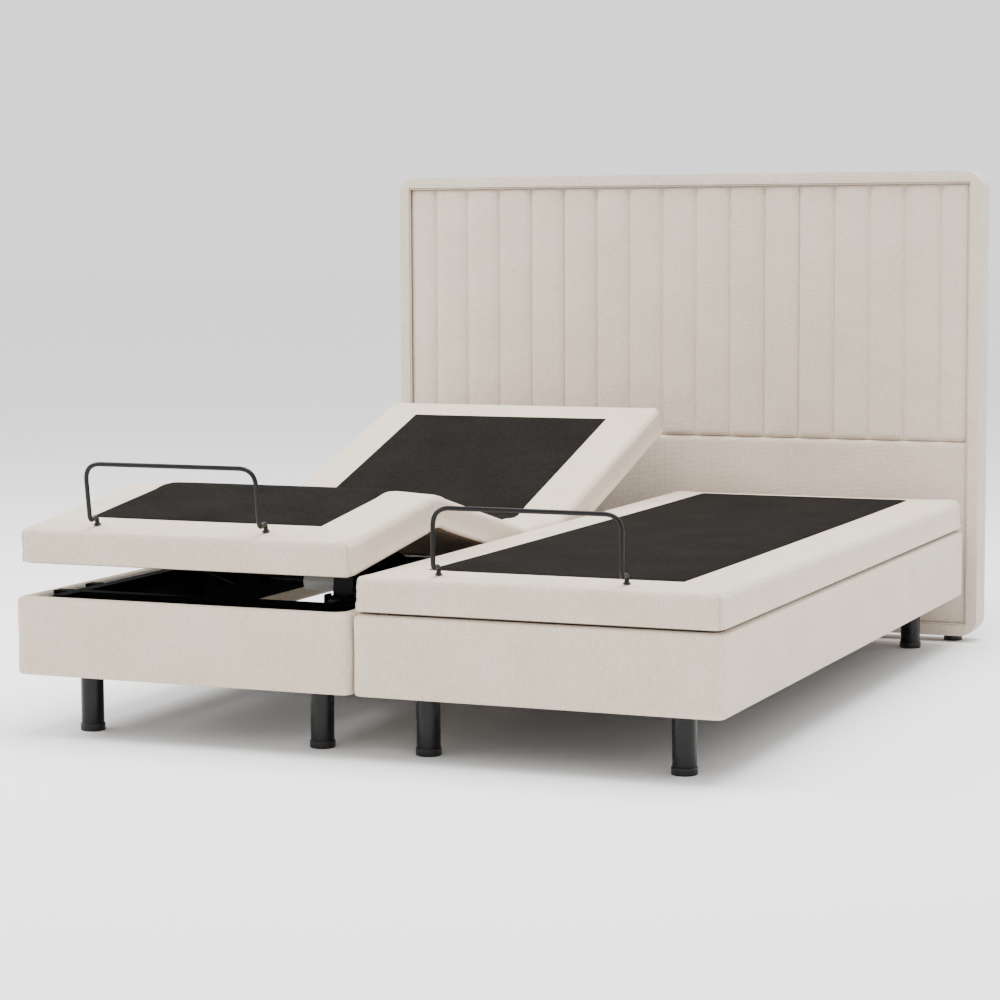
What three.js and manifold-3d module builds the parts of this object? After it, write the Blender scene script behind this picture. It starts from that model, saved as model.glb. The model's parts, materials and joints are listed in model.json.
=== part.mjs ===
// Split twin adjustable bed base: two motorised upholstered units side by side and one shared headboard.
// Millimetres. +X is to the right seen from the foot end, +Y runs towards the headboard, +Z is up.
// The origin is on the floor, under the centre of the whole object's box.
import * as THREE from "three";
import { mergeVertices } from "three/addons/utils/BufferGeometryUtils.js";
import Module from "manifold-3d";

const wasm = await Module();
wasm.setup();

// ---- driving dimensions -------------------------------------------------------------------------
const GAP = 0.3; // air left between two pieces that touch
const UNIT = { width: 800, length: 2000, spacing: 5 };
const LEG = { height: 132, radius: 25, capRadius: 27, capHeight: 17, inset: 120, front: 118, rear: 77 };
const BOX = { height: 171, wall: 35, corner: 14 };
const DECK = { gap: 3, thickness: 80, skirt: 15, board: 18, edge: 12, corner: 22 };
const FOLD = { knee: 450, hip: 985, back: 1210, drop: 3, clear: 0.5, boardGap: 16 };
// Degrees of travel, and how far the calf section turns for each degree of the thigh.
const REACH = { back: 60, thigh: 35, kneeRatio: 1.563 };
const FRAME = { bar: 30, side: 310, sideGap: 1, lowBar: [49, 22], underSeat: 30 };
const ROD = { radius: 4, clear: 0.4, knuckle: 9, length: 536, tab: 24, tabStep: 26, tabs: [-240, 240] };
const LIFT = {
  radius: 19,
  bore: 20,
  drop: 55,
  arm: 8,
  armHeight: 24,
  armX: 150,
  roller: 16,
  rollerWidth: 20,
  clear: 0.7,
};
const BACK_LIFT = { reach: 400, crankStart: -45 };
const THIGH_LIFT = { reach: 330, crankStart: 5 };
const CRANK = { radius: 85, width: 46, thickness: 8, pin: 5 };
const ACTUATOR = {
  drop: 67,
  tube: 15,
  bore: 11.5,
  rod: 10,
  motor: 22,
  motorLength: 82,
  head: 60,
  headWidth: 50,
  inside: 120,
  fork: 46,
};
const HEAD_ACTUATOR = { x: 65, pivot: 640, slot: [9.4, 14.2] };
const FOOT_ACTUATOR = { x: -75, pivot: 1560, slot: [6.2, 8.4] };
const STRUT = {
  x: 265,
  width: 8,
  height: 24,
  pivot: 748,
  pivotDrop: 44,
  reach: 120,
  drop: 25,
  rod: 6,
  stub: 8,
  clear: 3.3,
};
const BAR = { radius: 5, offset: -24, half: 203.5, setback: 30, foot: 28, height: 142, bend: 38, rise: 14 };
const CONTROL = { x: -230, width: 90, height: 44 };
const POST = { size: 30, y: 250, bottom: 200, top: 1.5 };
const HEADBOARD = {
  width: 1654,
  top: 1232,
  bottom: 17,
  setback: 47,
  depth: 93,
  rim: 28,
  corner: 46,
  seam: 527,
};
const FIELD = {
  inset: 3,
  channelDepth: 36,
  lowerDepth: 30,
  board: 40,
  footRadius: 24,
  footInset: 72,
};

const DEPTH = UNIT.length + HEADBOARD.setback + HEADBOARD.depth;
const HALF = UNIT.width / 2;
const BOX_TOP = LEG.height + BOX.height;
const DECK_Z = BOX_TOP + DECK.gap;
const DECK_TOP = DECK_Z + DECK.thickness;
const AXIS_Z = DECK_Z - FOLD.drop;
const FRAME_TOP = DECK_Z - GAP;
const FRAME_Z = FRAME_TOP - FRAME.bar;
const LIFT_Z = AXIS_Z - LIFT.drop;
const PIVOT_Z = AXIS_Z - ACTUATOR.drop;
const STRUT_Z = AXIS_Z - STRUT.pivotDrop;
const deg = THREE.MathUtils.degToRad;
const toDegrees = THREE.MathUtils.radToDeg;

// How far each section of a unit is raised in the rest pose, in degrees from flat.
const RAISED = { back: 17.4, thigh: 13.5 };
const FLAT = { back: 0, thigh: 0 };

// ---- how the coupled pieces follow the sections -------------------------------------------------
// Each follower moves along a straight line in its section's angle, as [value when flat, change per degree].
/** The straight line that lies nearest to value(angle) over a travel in degrees. */
function straightLaw(travel, value) {
  const count = 24;
  const angles = Array.from({ length: count + 1 }, (_, i) => (travel * i) / count);
  const samples = angles.map((angle) => [angle, value(angle)]);
  const mean = (k) => samples.reduce((sum, sample) => sum + sample[k], 0) / samples.length;
  const [meanAngle, meanValue] = [mean(0), mean(1)];
  const spread = samples.reduce((sum, [a]) => sum + (a - meanAngle) ** 2, 0);
  const slope = samples.reduce((sum, [a, v]) => sum + (a - meanAngle) * (v - meanValue), 0) / spread;
  return [meanValue - slope * meanAngle, slope];
}

/** The value that a law gives at an angle. */
const along = ([flat, slope], angle) => flat + slope * angle;

/** The lift arm's angle, with its roller just clear of the section's underside at both ends of the travel. */
function liftLaw(reach, travel) {
  const rise = FOLD.drop - LIFT.roller - LIFT.clear;
  const touch = (angle) =>
    angle + toDegrees(Math.asin((rise + LIFT.drop * Math.cos(deg(angle))) / reach));
  return [touch(0), (touch(travel) - touch(0)) / travel];
}

/** Where an actuator's rod pin is for a crank angle, as [y, z]. */
const crankPin = (y, angle) => {
  const { radius } = CRANK;
  return [y + radius * Math.sin(deg(angle)), LIFT_Z - radius * Math.cos(deg(angle))];
};

/** An actuator's angle and its length from pivot to pin. side is 1 when it points towards the head end. */
function actuatorLaws(side, { pivot }, hinge, { crankStart }, turn, travel) {
  const reach = (angle) => {
    const [y, z] = crankPin(hinge, crankStart + side * turn * angle);
    return [side * (y - pivot), z - PIVOT_Z];
  };
  return {
    angle: straightLaw(travel, (angle) => toDegrees(Math.atan2(reach(angle)[1], reach(angle)[0]))),
    length: straightLaw(travel, (angle) => Math.hypot(...reach(angle))),
  };
}

/** The strut's rise above level, towards the foot end. */
const strutLaw = straightLaw(REACH.thigh, (thigh) => {
  const [a, b] = [deg(thigh), deg(thigh * (1 - REACH.kneeRatio))];
  const span = FOLD.hip - FOLD.knee;
  const y = FOLD.hip - span * Math.cos(a) - STRUT.reach * Math.cos(b) - STRUT.drop * Math.sin(b);
  const z = AXIS_Z + span * Math.sin(a) + STRUT.reach * Math.sin(b) - STRUT.drop * Math.cos(b);
  return toDegrees(Math.atan2(z - STRUT_Z, STRUT.pivot - y));
});

const backLift = liftLaw(BACK_LIFT.reach, REACH.back);
const thighLift = liftLaw(THIGH_LIFT.reach, REACH.thigh);
const headDrive = actuatorLaws(1, HEAD_ACTUATOR, FOLD.back, BACK_LIFT, backLift[1], REACH.back);
const footDrive = actuatorLaws(-1, FOOT_ACTUATOR, FOLD.hip, THIGH_LIFT, thighLift[1], REACH.thigh);

// ---- materials ----------------------------------------------------------------------------------
const finish = (color, roughness, metalness = 0) => ({ color, roughness, metalness });
const FABRIC = finish("#d6cfc7", 0.9);
const PLATFORM = finish("#3a3633", 0.95);
const PLYWOOD = finish("#8a7a68", 0.8);
const BLACK_STEEL = finish("#161616", 0.45, 0.6);
const GREY_PLASTIC = finish("#a9aaa6", 0.5);
const BLACK_PLASTIC = finish("#141414", 0.5);
const ZINC = finish("#b9bbbd", 0.35, 0.9);

// ---- geometry helpers ---------------------------------------------------------------------------
/** Turns a closed geometry into a manifold solid. */
function solid(geometry) {
  const bare = geometry.clone();
  bare.deleteAttribute("normal");
  bare.deleteAttribute("uv");
  const merged = mergeVertices(bare, 1e-4);
  return new wasm.Manifold(
    new wasm.Mesh({
      numProp: 3,
      vertProperties: new Float32Array(merged.attributes.position.array),
      triVerts: new Uint32Array(merged.index.array),
    }),
  );
}

/** Turns a manifold solid back into a geometry. */
function geometryOf(body) {
  const { vertProperties, triVerts } = body.getMesh();
  const geometry = new THREE.BufferGeometry();
  geometry.setAttribute("position", new THREE.BufferAttribute(new Float32Array(vertProperties), 3));
  geometry.setIndex(new THREE.BufferAttribute(new Uint32Array(triVerts), 1));
  geometry.computeVertexNormals();
  return geometry;
}

/** Joins geometries into one solid, then cuts others away. */
function fuse(parts, cuts = []) {
  let body = solid(parts[0]);
  for (const part of parts.slice(1)) body = body.add(solid(part));
  for (const cut of cuts) body = body.subtract(solid(cut));
  return geometryOf(body);
}

/** A box given by its lowest and highest corners. */
function block([x0, x1], [y0, y1], [z0, z1]) {
  const geometry = new THREE.BoxGeometry(x1 - x0, y1 - y0, z1 - z0);
  return geometry.translate((x0 + x1) / 2, (y0 + y1) / 2, (z0 + z1) / 2);
}

/** A cylinder along X, centred on y and z. */
function rodX(radius, [x0, x1], y, z, segments = 14) {
  const geometry = new THREE.CylinderGeometry(radius, radius, x1 - x0, segments);
  return geometry.rotateZ(Math.PI / 2).translate((x0 + x1) / 2, y, z);
}

/** A plate cut to an outline in the Y-Z plane, given as [y, z] points, and thick along X. */
function plateX(points, [x0, x1]) {
  const shape = new THREE.Shape(points.map(([y, z]) => new THREE.Vector2(y, z)));
  const geometry = new THREE.ExtrudeGeometry(shape, { depth: x1 - x0, bevelEnabled: false });
  const basis = new THREE.Matrix4().makeBasis(
    new THREE.Vector3(0, 1, 0),
    new THREE.Vector3(0, 0, 1),
    new THREE.Vector3(1, 0, 0),
  );
  return geometry.applyMatrix4(basis).translate(x0, 0, 0);
}

/** A rectangle with round corners as a THREE.Path or THREE.Shape. */
function roundedRectangle(Kind, [u0, u1], [v0, v1], radius) {
  const path = new Kind();
  path.moveTo(u0 + radius, v0);
  path.lineTo(u1 - radius, v0);
  path.absarc(u1 - radius, v0 + radius, radius, -Math.PI / 2, 0);
  path.lineTo(u1, v1 - radius);
  path.absarc(u1 - radius, v1 - radius, radius, 0, Math.PI / 2);
  path.lineTo(u0 + radius, v1);
  path.absarc(u0 + radius, v1 - radius, radius, Math.PI / 2, Math.PI);
  path.lineTo(u0, v0 + radius);
  path.absarc(u0 + radius, v0 + radius, radius, Math.PI, Math.PI * 1.5);
  return path;
}

/** A flat bar along a line in the Y-Z plane, round at both ends, with its two ends given as [y, z]. */
function link(from, to, height, [x0, x1], segments = 6) {
  const along = Math.atan2(to[1] - from[1], to[0] - from[0]);
  const points = [];
  for (const [centre, start] of [[to, along - Math.PI / 2], [from, along + Math.PI / 2]]) {
    for (let i = 0; i <= segments; i += 1) {
      const angle = start + (Math.PI * i) / segments;
      points.push([centre[0] + (height / 2) * Math.cos(angle), centre[1] + (height / 2) * Math.sin(angle)]);
    }
  }
  return plateX(points, [x0, x1]);
}

/** A named mesh with its own material. */
function piece(name, geometry, { color, roughness, metalness }) {
  const mesh = new THREE.Mesh(geometry, new THREE.MeshStandardMaterial({ color, roughness, metalness }));
  mesh.name = name;
  return mesh;
}

/** A group that turns its contents about an X axis through y and z. The contents are drawn unturned. */
function turned(y, z, angle, ...contents) {
  const hinge = new THREE.Group();
  hinge.position.set(0, y, z);
  hinge.rotation.x = deg(angle);
  const inner = new THREE.Group();
  inner.position.set(0, -y, -z);
  inner.add(...contents);
  hinge.add(inner);
  return hinge;
}

// ---- the deck sections --------------------------------------------------------------------------
/** How far a section's end leans back from a fold at a height z, so that two sections never meet. */
const leanBack = (z, travel) => FOLD.clear + (z - AXIS_Z) * Math.tan(deg(travel / 2 + 1));

/** One padded section, recessed for its board. travel is [low end, high end], null at a free end. */
function padGeometry([y0, y1], [low, high]) {
  const end = (y, travel, side) => {
    if (travel === null) return [];
    return [DECK_Z, DECK_TOP].map((z) => [y + side * leanBack(z, travel), z]);
  };
  const free = (y, side) => [
    [y, DECK_Z],
    [y, DECK_TOP - DECK.edge],
    [y + side * DECK.edge * 0.3, DECK_TOP - DECK.edge * 0.3],
    [y + side * DECK.edge, DECK_TOP],
  ];
  const front = low === null ? free(y0, 1) : end(y0, low, 1);
  const rear = high === null ? free(y1, -1) : end(y1, high, -1);
  const outline = [...front.reverse(), ...rear];
  const slab = solid(plateX(outline, [-HALF, HALF]));
  const [u0, u1] = [y0 - (low === null ? 0 : UNIT.length), y1 + (high === null ? 0 : UNIT.length)];
  const outer = roundedRectangle(THREE.Shape, [-HALF, HALF], [u0, u1], DECK.corner);
  const plan = new THREE.ExtrudeGeometry(outer, {
    depth: DECK.thickness + 2,
    bevelEnabled: false,
    curveSegments: 5,
  }).translate(0, 0, DECK_Z - 1);
  const inside = HALF - DECK.skirt;
  const recess = block(
    [-inside, inside],
    [low === null ? y0 + DECK.skirt : y0 - 100, high === null ? y1 - DECK.skirt : y1 + 100],
    [DECK_Z - 10, DECK_Z + DECK.board + GAP],
  );
  return geometryOf(slab.intersect(solid(plan)).subtract(solid(recess)));
}

/** The knuckles that wrap a fold's rod, on the side of the fold towards the head when side is 1. */
function knuckles(y, side) {
  const shift = side > 0 ? 0 : ROD.tabStep;
  const reach = FOLD.boardGap + 8;
  return ROD.tabs.flatMap((x) => {
    const centre = x - Math.sign(x) * shift;
    const across = [centre - ROD.tab / 2, centre + ROD.tab / 2];
    const leaf = block(across, side > 0 ? [y, y + reach] : [y - reach, y], [AXIS_Z - 2, DECK_Z + 3]);
    return [rodX(ROD.knuckle, across, y, AXIS_Z), leaf];
  });
}

/** A plywood board with the knuckles of the folds at its ends. */
function boardGeometry([y0, y1], [low, high], extra = []) {
  const inside = HALF - DECK.skirt - GAP;
  const start = y0 + (low ? FOLD.boardGap : DECK.skirt + GAP);
  const stop = y1 - (high ? FOLD.boardGap : DECK.skirt + GAP);
  const parts = [block([-inside, inside], [start, stop], [DECK_Z, DECK_Z + DECK.board])];
  const bores = [];
  for (const [present, y, side] of [[low, y0, 1], [high, y1, -1]]) {
    if (!present) continue;
    parts.push(...knuckles(y, side));
    bores.push(rodX(ROD.radius + ROD.clear, [-HALF, HALF], y, AXIS_Z));
  }
  parts.push(...extra.map((item) => item.part));
  bores.push(...extra.flatMap((item) => item.cuts));
  return fuse(parts, bores);
}

/** The round rod that two sections turn on. */
const rodGeometry = (y) => rodX(ROD.radius, [-ROD.length / 2, ROD.length / 2], y, AXIS_Z, 16);

/** The ears under the calf board that the strut's cross rod passes through. */
function strutEars() {
  const [y, z] = [FOLD.knee - STRUT.reach, AXIS_Z - STRUT.drop];
  return [-1, 1].map((side) => {
    const x = side * (STRUT.x - 40);
    const outline = [[y - 20, DECK_Z + 2], [y - 14, z - 14], [y + 14, z - 14], [y + 20, DECK_Z + 2]];
    return {
      part: plateX(outline, [x - 4, x + 4]),
      cuts: [rodX(STRUT.rod + STRUT.clear, [x - 5, x + 5], y, z)],
    };
  });
}

/** The bent rod that keeps the mattress from sliding off the foot end. */
function retainerGeometry() {
  const { half, foot, height, bend, rise, setback } = BAR;
  const seat = DECK_TOP - 2;
  const top = seat + height;
  const low = seat + rise;
  const y = setback;
  const path = new THREE.CurvePath();
  const v = (x, yy, z) => new THREE.Vector3(BAR.offset + x, yy, z);
  const arc = (a, b, c) => path.add(new THREE.QuadraticBezierCurve3(a, b, c));
  const line = (a, b) => path.add(new THREE.LineCurve3(a, b));
  const peg = y + foot;
  line(v(-half, peg, seat + GAP + 2.5), v(-half, peg, low - 2));
  arc(v(-half, peg, low - 2), v(-half, peg, low + 6), v(-half, peg - 9, low + 6));
  arc(v(-half, peg - 9, low + 6), v(-half, y, low - 2), v(-half, y, low + 16));
  line(v(-half, y, low + 16), v(-half, y, top - bend));
  arc(v(-half, y, top - bend), v(-half, y, top), v(-half + bend, y, top));
  line(v(-half + bend, y, top), v(half - bend, y, top));
  arc(v(half - bend, y, top), v(half, y, top), v(half, y, top - bend));
  line(v(half, y, top - bend), v(half, y, low + 16));
  arc(v(half, y, low + 16), v(half, y, low - 2), v(half, peg - 9, low + 6));
  arc(v(half, peg - 9, low + 6), v(half, peg, low + 6), v(half, peg, low - 2));
  line(v(half, peg, low - 2), v(half, peg, seat + GAP + 2.5));
  const section = new THREE.Shape();
  section.absarc(0, 0, BAR.radius, 0, Math.PI * 2);
  return new THREE.ExtrudeGeometry(section, { steps: 60, curveSegments: 4, extrudePath: path });
}

// ---- the mechanism ------------------------------------------------------------------------------
/** A plate that hangs from the steel frame and carries a round pin or tube at y and z. */
const hanger = ([x0, x1], y, z, radius, reach, [low, high] = [z - reach, FRAME_Z + 2]) => ({
  part: block([x0, x1], [y - reach, y + reach], [low, high]),
  cut: rodX(radius, [x0 - 1, x1 + 1], y, z, 18),
});

/** The welded steel frame: two long bars, the cross bars, and every plate that hangs from them. */
function frameGeometry() {
  const { bar, side, sideGap } = FRAME;
  const inner = HALF - BOX.wall - GAP;
  const zs = [FRAME_Z, FRAME_TOP];
  const ends = [BOX.wall + sideGap, UNIT.length - BOX.wall - sideGap];
  const crossings = [
    LEG.front,
    FOLD.hip + FRAME.underSeat + bar / 2,
    FOLD.back - FRAME.underSeat - bar / 2,
    UNIT.length - LEG.rear,
  ];
  const bars = [-1, 1].map((s) => block([s * side - bar / 2, s * side + bar / 2], ends, zs));
  const crossBars = crossings.map((y) => block([-inner, inner], [y - bar / 2, y + bar / 2], zs));
  const hangers = [];
  for (const s of [-1, 1]) {
    const across = s > 0 ? [side - bar / 2, side - bar / 2 + 8] : [-side + bar / 2 - 8, -side + bar / 2];
    hangers.push(hanger(across, FOLD.hip, LIFT_Z, LIFT.bore, 30));
    hangers.push(hanger(across, FOLD.back, LIFT_Z, LIFT.bore, 30));
    hangers.push(hanger(across, STRUT.pivot, STRUT_Z, STRUT.stub + 0.6, 18));
  }
  const lowBars = [];
  for (const { x, pivot } of [HEAD_ACTUATOR, FOOT_ACTUATOR]) {
    const [below, height] = FRAME.lowBar;
    const low = [PIVOT_Z - below, PIVOT_Z - below + height];
    const along = [pivot - bar / 2, pivot + bar / 2];
    lowBars.push(block([-side - bar / 2, side + bar / 2], along, low));
    for (const s of [-1, 1]) {
      const across = [s * side - bar / 2, s * side + bar / 2];
      lowBars.push(block(across, along, [low[1] - 2, FRAME_Z + 2]));
      const start = x + s * (ACTUATOR.headWidth / 2 + 1);
      const plate = s > 0 ? [start, start + 6] : [start - 6, start];
      hangers.push(hanger(plate, pivot, PIVOT_Z, CRANK.pin + 1.4, 14, [low[1] - 2, PIVOT_Z + 14]));
    }
  }
  return fuse([...bars, ...crossBars, ...lowBars, ...hangers.map((h) => h.part)], hangers.map((h) => h.cut));
}

/** A lift tube with two arms, their rollers and the crank that the actuator drives, for a flat section. */
function liftTubeGeometry(y, side, { reach, crankStart }, [flat], { x: crankX, slot }) {
  const [slotHalf, slotReach] = slot;
  const centre = [y, LIFT_Z];
  const tip = [y + side * reach * Math.cos(deg(flat)), LIFT_Z + reach * Math.sin(deg(flat))];
  const length = FRAME.side + 6;
  const parts = [rodX(LIFT.radius, [-length, length], y, LIFT_Z, 20)];
  for (const s of [-1, 1]) {
    const x = s * LIFT.armX;
    parts.push(link(centre, tip, LIFT.armHeight, [x - LIFT.arm / 2, x + LIFT.arm / 2]));
    parts.push(rodX(LIFT.roller, [x - LIFT.rollerWidth / 2, x + LIFT.rollerWidth / 2], ...tip, 18));
  }
  const away = [Math.sin(deg(crankStart)), -Math.cos(deg(crankStart))];
  const at = (r) => [centre[0] + away[0] * r, centre[1] + away[1] * r];
  const across = [crankX - CRANK.thickness / 2, crankX + CRANK.thickness / 2];
  parts.push(link(centre, at(CRANK.radius), CRANK.width, across));
  const slotCut = link(
    at(CRANK.radius - slotReach + slotHalf),
    at(CRANK.radius + slotReach - slotHalf),
    slotHalf * 2,
    [across[0] - 1, across[1] + 1],
  );
  return fuse(parts, [slotCut]);
}

/** The motor end of an actuator, along +Y from its pivot: gear case, motor and the tube for the rod. */
function motorGeometry(x, pivotY, tubeLength) {
  const { head, headWidth, tube, bore, motor, motorLength } = ACTUATOR;
  const halfWidth = headWidth / 2;
  const centre = [pivotY, PIVOT_Z];
  const start = pivotY + 18;
  const motorY = start + head / 2;
  const lift = 38;
  const parts = [
    link(centre, [start + 20, PIVOT_Z], 22, [x - halfWidth, x + halfWidth]),
    block([x - halfWidth, x + halfWidth], [start, start + head], [PIVOT_Z - 22, PIVOT_Z + lift + 22]),
    rodX(motor, [x - halfWidth - motorLength, x], motorY, PIVOT_Z + lift + 3, 20),
    rodX(CRANK.pin, [x - halfWidth - 7, x + halfWidth + 7], ...centre),
  ];
  const barrel = new THREE.CylinderGeometry(tube, tube, tubeLength, 16);
  barrel.translate(x, start + tubeLength / 2, PIVOT_Z);
  const hollow = new THREE.CylinderGeometry(bore, bore, tubeLength, 16);
  parts.push(barrel);
  return fuse(parts, [hollow.translate(x, start + head + 6 + tubeLength / 2, PIVOT_Z)]);
}

/** The rod of an actuator, lying along +Y, with a fork and its pin at the far end. */
function rodEndGeometry(x, startY, pinY) {
  const { rod } = ACTUATOR;
  const shoulder = pinY - ACTUATOR.fork;
  const shaft = new THREE.CylinderGeometry(rod, rod, shoulder - startY, 14);
  const gap = CRANK.thickness / 2 + 1.5;
  const parts = [
    shaft.translate(x, (shoulder + startY) / 2, PIVOT_Z),
    block([x - gap - 5, x + gap + 5], [shoulder - 2, shoulder + 8], [PIVOT_Z - 10, PIVOT_Z + 10]),
    rodX(CRANK.pin, [x - gap - 5, x + gap + 5], pinY, PIVOT_Z),
  ];
  for (const s of [-1, 1]) {
    const across = s > 0 ? [x + gap, x + gap + 5] : [x - gap - 5, x - gap];
    parts.push(link([shoulder + 4, PIVOT_Z], [pinY, PIVOT_Z], 20, across));
  }
  return fuse(parts);
}

/** An actuator turned and drawn out as its laws say, as a group that holds its motor end and its rod. */
function actuator(names, { x, pivot }, laws, raised) {
  const shortest = laws.length[0];
  const start = pivot + 18;
  const tubeLength = shortest - 18 - ACTUATOR.fork - 14;
  const motor = piece(names[0], motorGeometry(x, pivot, tubeLength), GREY_PLASTIC);
  const inner = start + tubeLength - ACTUATOR.inside;
  const rod = piece(names[1], rodEndGeometry(x, inner, pivot + shortest), ZINC);
  rod.position.y = along(laws.length, raised) - shortest;
  return turned(pivot, PIVOT_Z, along(laws.angle, raised), motor, rod);
}

/** The two links that carry the calf section's lower end, joined by the rod through the calf board's ears. */
function strutGeometry() {
  const frameEnd = [STRUT.pivot, STRUT_Z];
  const calfEnd = [FOLD.knee - STRUT.reach, AXIS_Z - STRUT.drop];
  const parts = [rodX(STRUT.rod, [-STRUT.x, STRUT.x], ...calfEnd, 16)];
  for (const s of [-1, 1]) {
    const x = s * STRUT.x;
    parts.push(link(frameEnd, calfEnd, STRUT.height, [x - STRUT.width / 2, x + STRUT.width / 2]));
    const stub = [STRUT.x - STRUT.width / 2, FRAME.side - 4];
    parts.push(rodX(STRUT.stub, s > 0 ? stub : [-stub[1], -stub[0]], ...frameEnd));
  }
  return fuse(parts);
}

// ---- one unit -----------------------------------------------------------------------------------
/** The upholstered box with no top and no bottom. */
function boxGeometry() {
  const plan = roundedRectangle(THREE.Shape, [-HALF, HALF], [0, UNIT.length], BOX.corner);
  const inner = [-HALF + BOX.wall, HALF - BOX.wall];
  plan.holes.push(roundedRectangle(THREE.Path, inner, [BOX.wall, UNIT.length - BOX.wall], 2));
  const options = { depth: BOX.height, bevelEnabled: false, curveSegments: 4 };
  return new THREE.ExtrudeGeometry(plan, options).translate(0, 0, LEG.height);
}

/** A round steel leg with a plastic cap on its lower end. */
function legGeometry(x, y) {
  const { radius, capRadius, capHeight } = LEG;
  const top = FRAME_Z - GAP;
  const profile = [
    [0, 0],
    [capRadius - 3, 0],
    [capRadius, 4],
    [capRadius, capHeight - 2],
    [radius, capHeight],
    [radius, top],
    [0, top],
  ].map(([r, z]) => new THREE.Vector2(r, z));
  return new THREE.LatheGeometry(profile, 20).rotateX(Math.PI / 2).translate(x, y, 0);
}

/** A complete unit, with its meshes' names starting with label, and its sections raised by pose. */
function makeUnit(label, pose) {
  const unit = new THREE.Group();
  const named = (name, geometry, look) => piece(`${label}_${name}`, geometry, look);
  const legX = HALF - LEG.inset;
  const corners = [
    ["front_left_leg", -legX, LEG.front],
    ["front_right_leg", legX, LEG.front],
    ["rear_left_leg", -legX, UNIT.length - LEG.rear],
    ["rear_right_leg", legX, UNIT.length - LEG.rear],
  ];
  unit.add(named("base_box", boxGeometry(), FABRIC));
  for (const [name, x, y] of corners) unit.add(named(name, legGeometry(x, y), BLACK_STEEL));
  unit.add(named("steel_frame", frameGeometry(), BLACK_STEEL));
  const postX = -HALF + BOX.wall + 0.5;
  const postY = [POST.y - POST.size / 2, POST.y + POST.size / 2];
  const post = block([postX, postX + POST.size], postY, [POST.bottom, DECK_Z - POST.top]);
  unit.add(named("support_post", post, BLACK_STEEL));
  const boxY = [FOLD.hip + LIFT.radius + 12, FOLD.back - LIFT.radius - 12];
  const controlX = [CONTROL.x - CONTROL.width / 2, CONTROL.x + CONTROL.width / 2];
  const controlZ = [FRAME_Z - GAP - CONTROL.height, FRAME_Z - GAP];
  unit.add(named("control_box", block(controlX, boxY, controlZ), BLACK_PLASTIC));

  const spans = { calf: [0, FOLD.knee], thigh: [FOLD.knee, FOLD.hip], seat: [FOLD.hip, FOLD.back] };
  spans.back = [FOLD.back, UNIT.length];
  const knee = -2; // the knee opens upwards, so its two ends stay square
  unit.add(named("seat_board", boardGeometry(spans.seat, [true, true]), PLYWOOD));
  unit.add(named("seat_pad", padGeometry(spans.seat, [REACH.thigh, REACH.back]), FABRIC));
  unit.add(named("back_hinge_rod", rodGeometry(FOLD.back), ZINC));
  unit.add(named("hip_hinge_rod", rodGeometry(FOLD.hip), ZINC));

  const back = turned(
    FOLD.back,
    AXIS_Z,
    pose.back,
    named("back_board", boardGeometry(spans.back, [true, false]), PLYWOOD),
    named("back_pad", padGeometry(spans.back, [REACH.back, null]), FABRIC),
  );
  const calf = turned(
    FOLD.knee,
    AXIS_Z,
    pose.thigh * REACH.kneeRatio,
    named("calf_board", boardGeometry(spans.calf, [false, true], strutEars()), PLYWOOD),
    named("calf_pad", padGeometry(spans.calf, [null, knee]), FABRIC),
    named("retainer_bar", retainerGeometry(), BLACK_STEEL),
  );
  const thigh = turned(
    FOLD.hip,
    AXIS_Z,
    -pose.thigh,
    named("thigh_board", boardGeometry(spans.thigh, [true, true]), PLYWOOD),
    named("thigh_pad", padGeometry(spans.thigh, [knee, REACH.thigh]), FABRIC),
    named("knee_hinge_rod", rodGeometry(FOLD.knee), ZINC),
    calf,
  );
  unit.add(back, thigh);

  const headTube = liftTubeGeometry(FOLD.back, 1, BACK_LIFT, backLift, HEAD_ACTUATOR);
  const footTube = liftTubeGeometry(FOLD.hip, -1, THIGH_LIFT, thighLift, FOOT_ACTUATOR);
  const headLift = named("head_lift_tube", headTube, BLACK_STEEL);
  unit.add(turned(FOLD.back, LIFT_Z, backLift[1] * pose.back, headLift));
  const footLift = named("foot_lift_tube", footTube, BLACK_STEEL);
  unit.add(turned(FOLD.hip, LIFT_Z, -thighLift[1] * pose.thigh, footLift));

  const headNames = [`${label}_head_motor`, `${label}_head_motor_rod`];
  unit.add(actuator(headNames, HEAD_ACTUATOR, headDrive, pose.back));

  // The foot actuator points towards the foot end, so it is drawn mirrored front to back, then turned round.
  const footNames = [`${label}_foot_motor`, `${label}_foot_motor_rod`];
  const mirrored = { x: -FOOT_ACTUATOR.x, pivot: -FOOT_ACTUATOR.pivot };
  const footGroup = new THREE.Group();
  footGroup.rotation.z = Math.PI;
  footGroup.add(actuator(footNames, mirrored, footDrive, pose.thigh));
  unit.add(footGroup);

  // The strut is drawn as if its two ends were true, so it is turned only by what its law adds to that.
  const drawn = toDegrees(Math.atan2(STRUT.pivotDrop - STRUT.drop, STRUT.pivot - FOLD.knee + STRUT.reach));
  const strut = named("calf_strut", strutGeometry(), BLACK_STEEL);
  unit.add(turned(STRUT.pivot, STRUT_Z, drawn - along(strutLaw, pose.thigh), strut));
  return unit;
}

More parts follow.
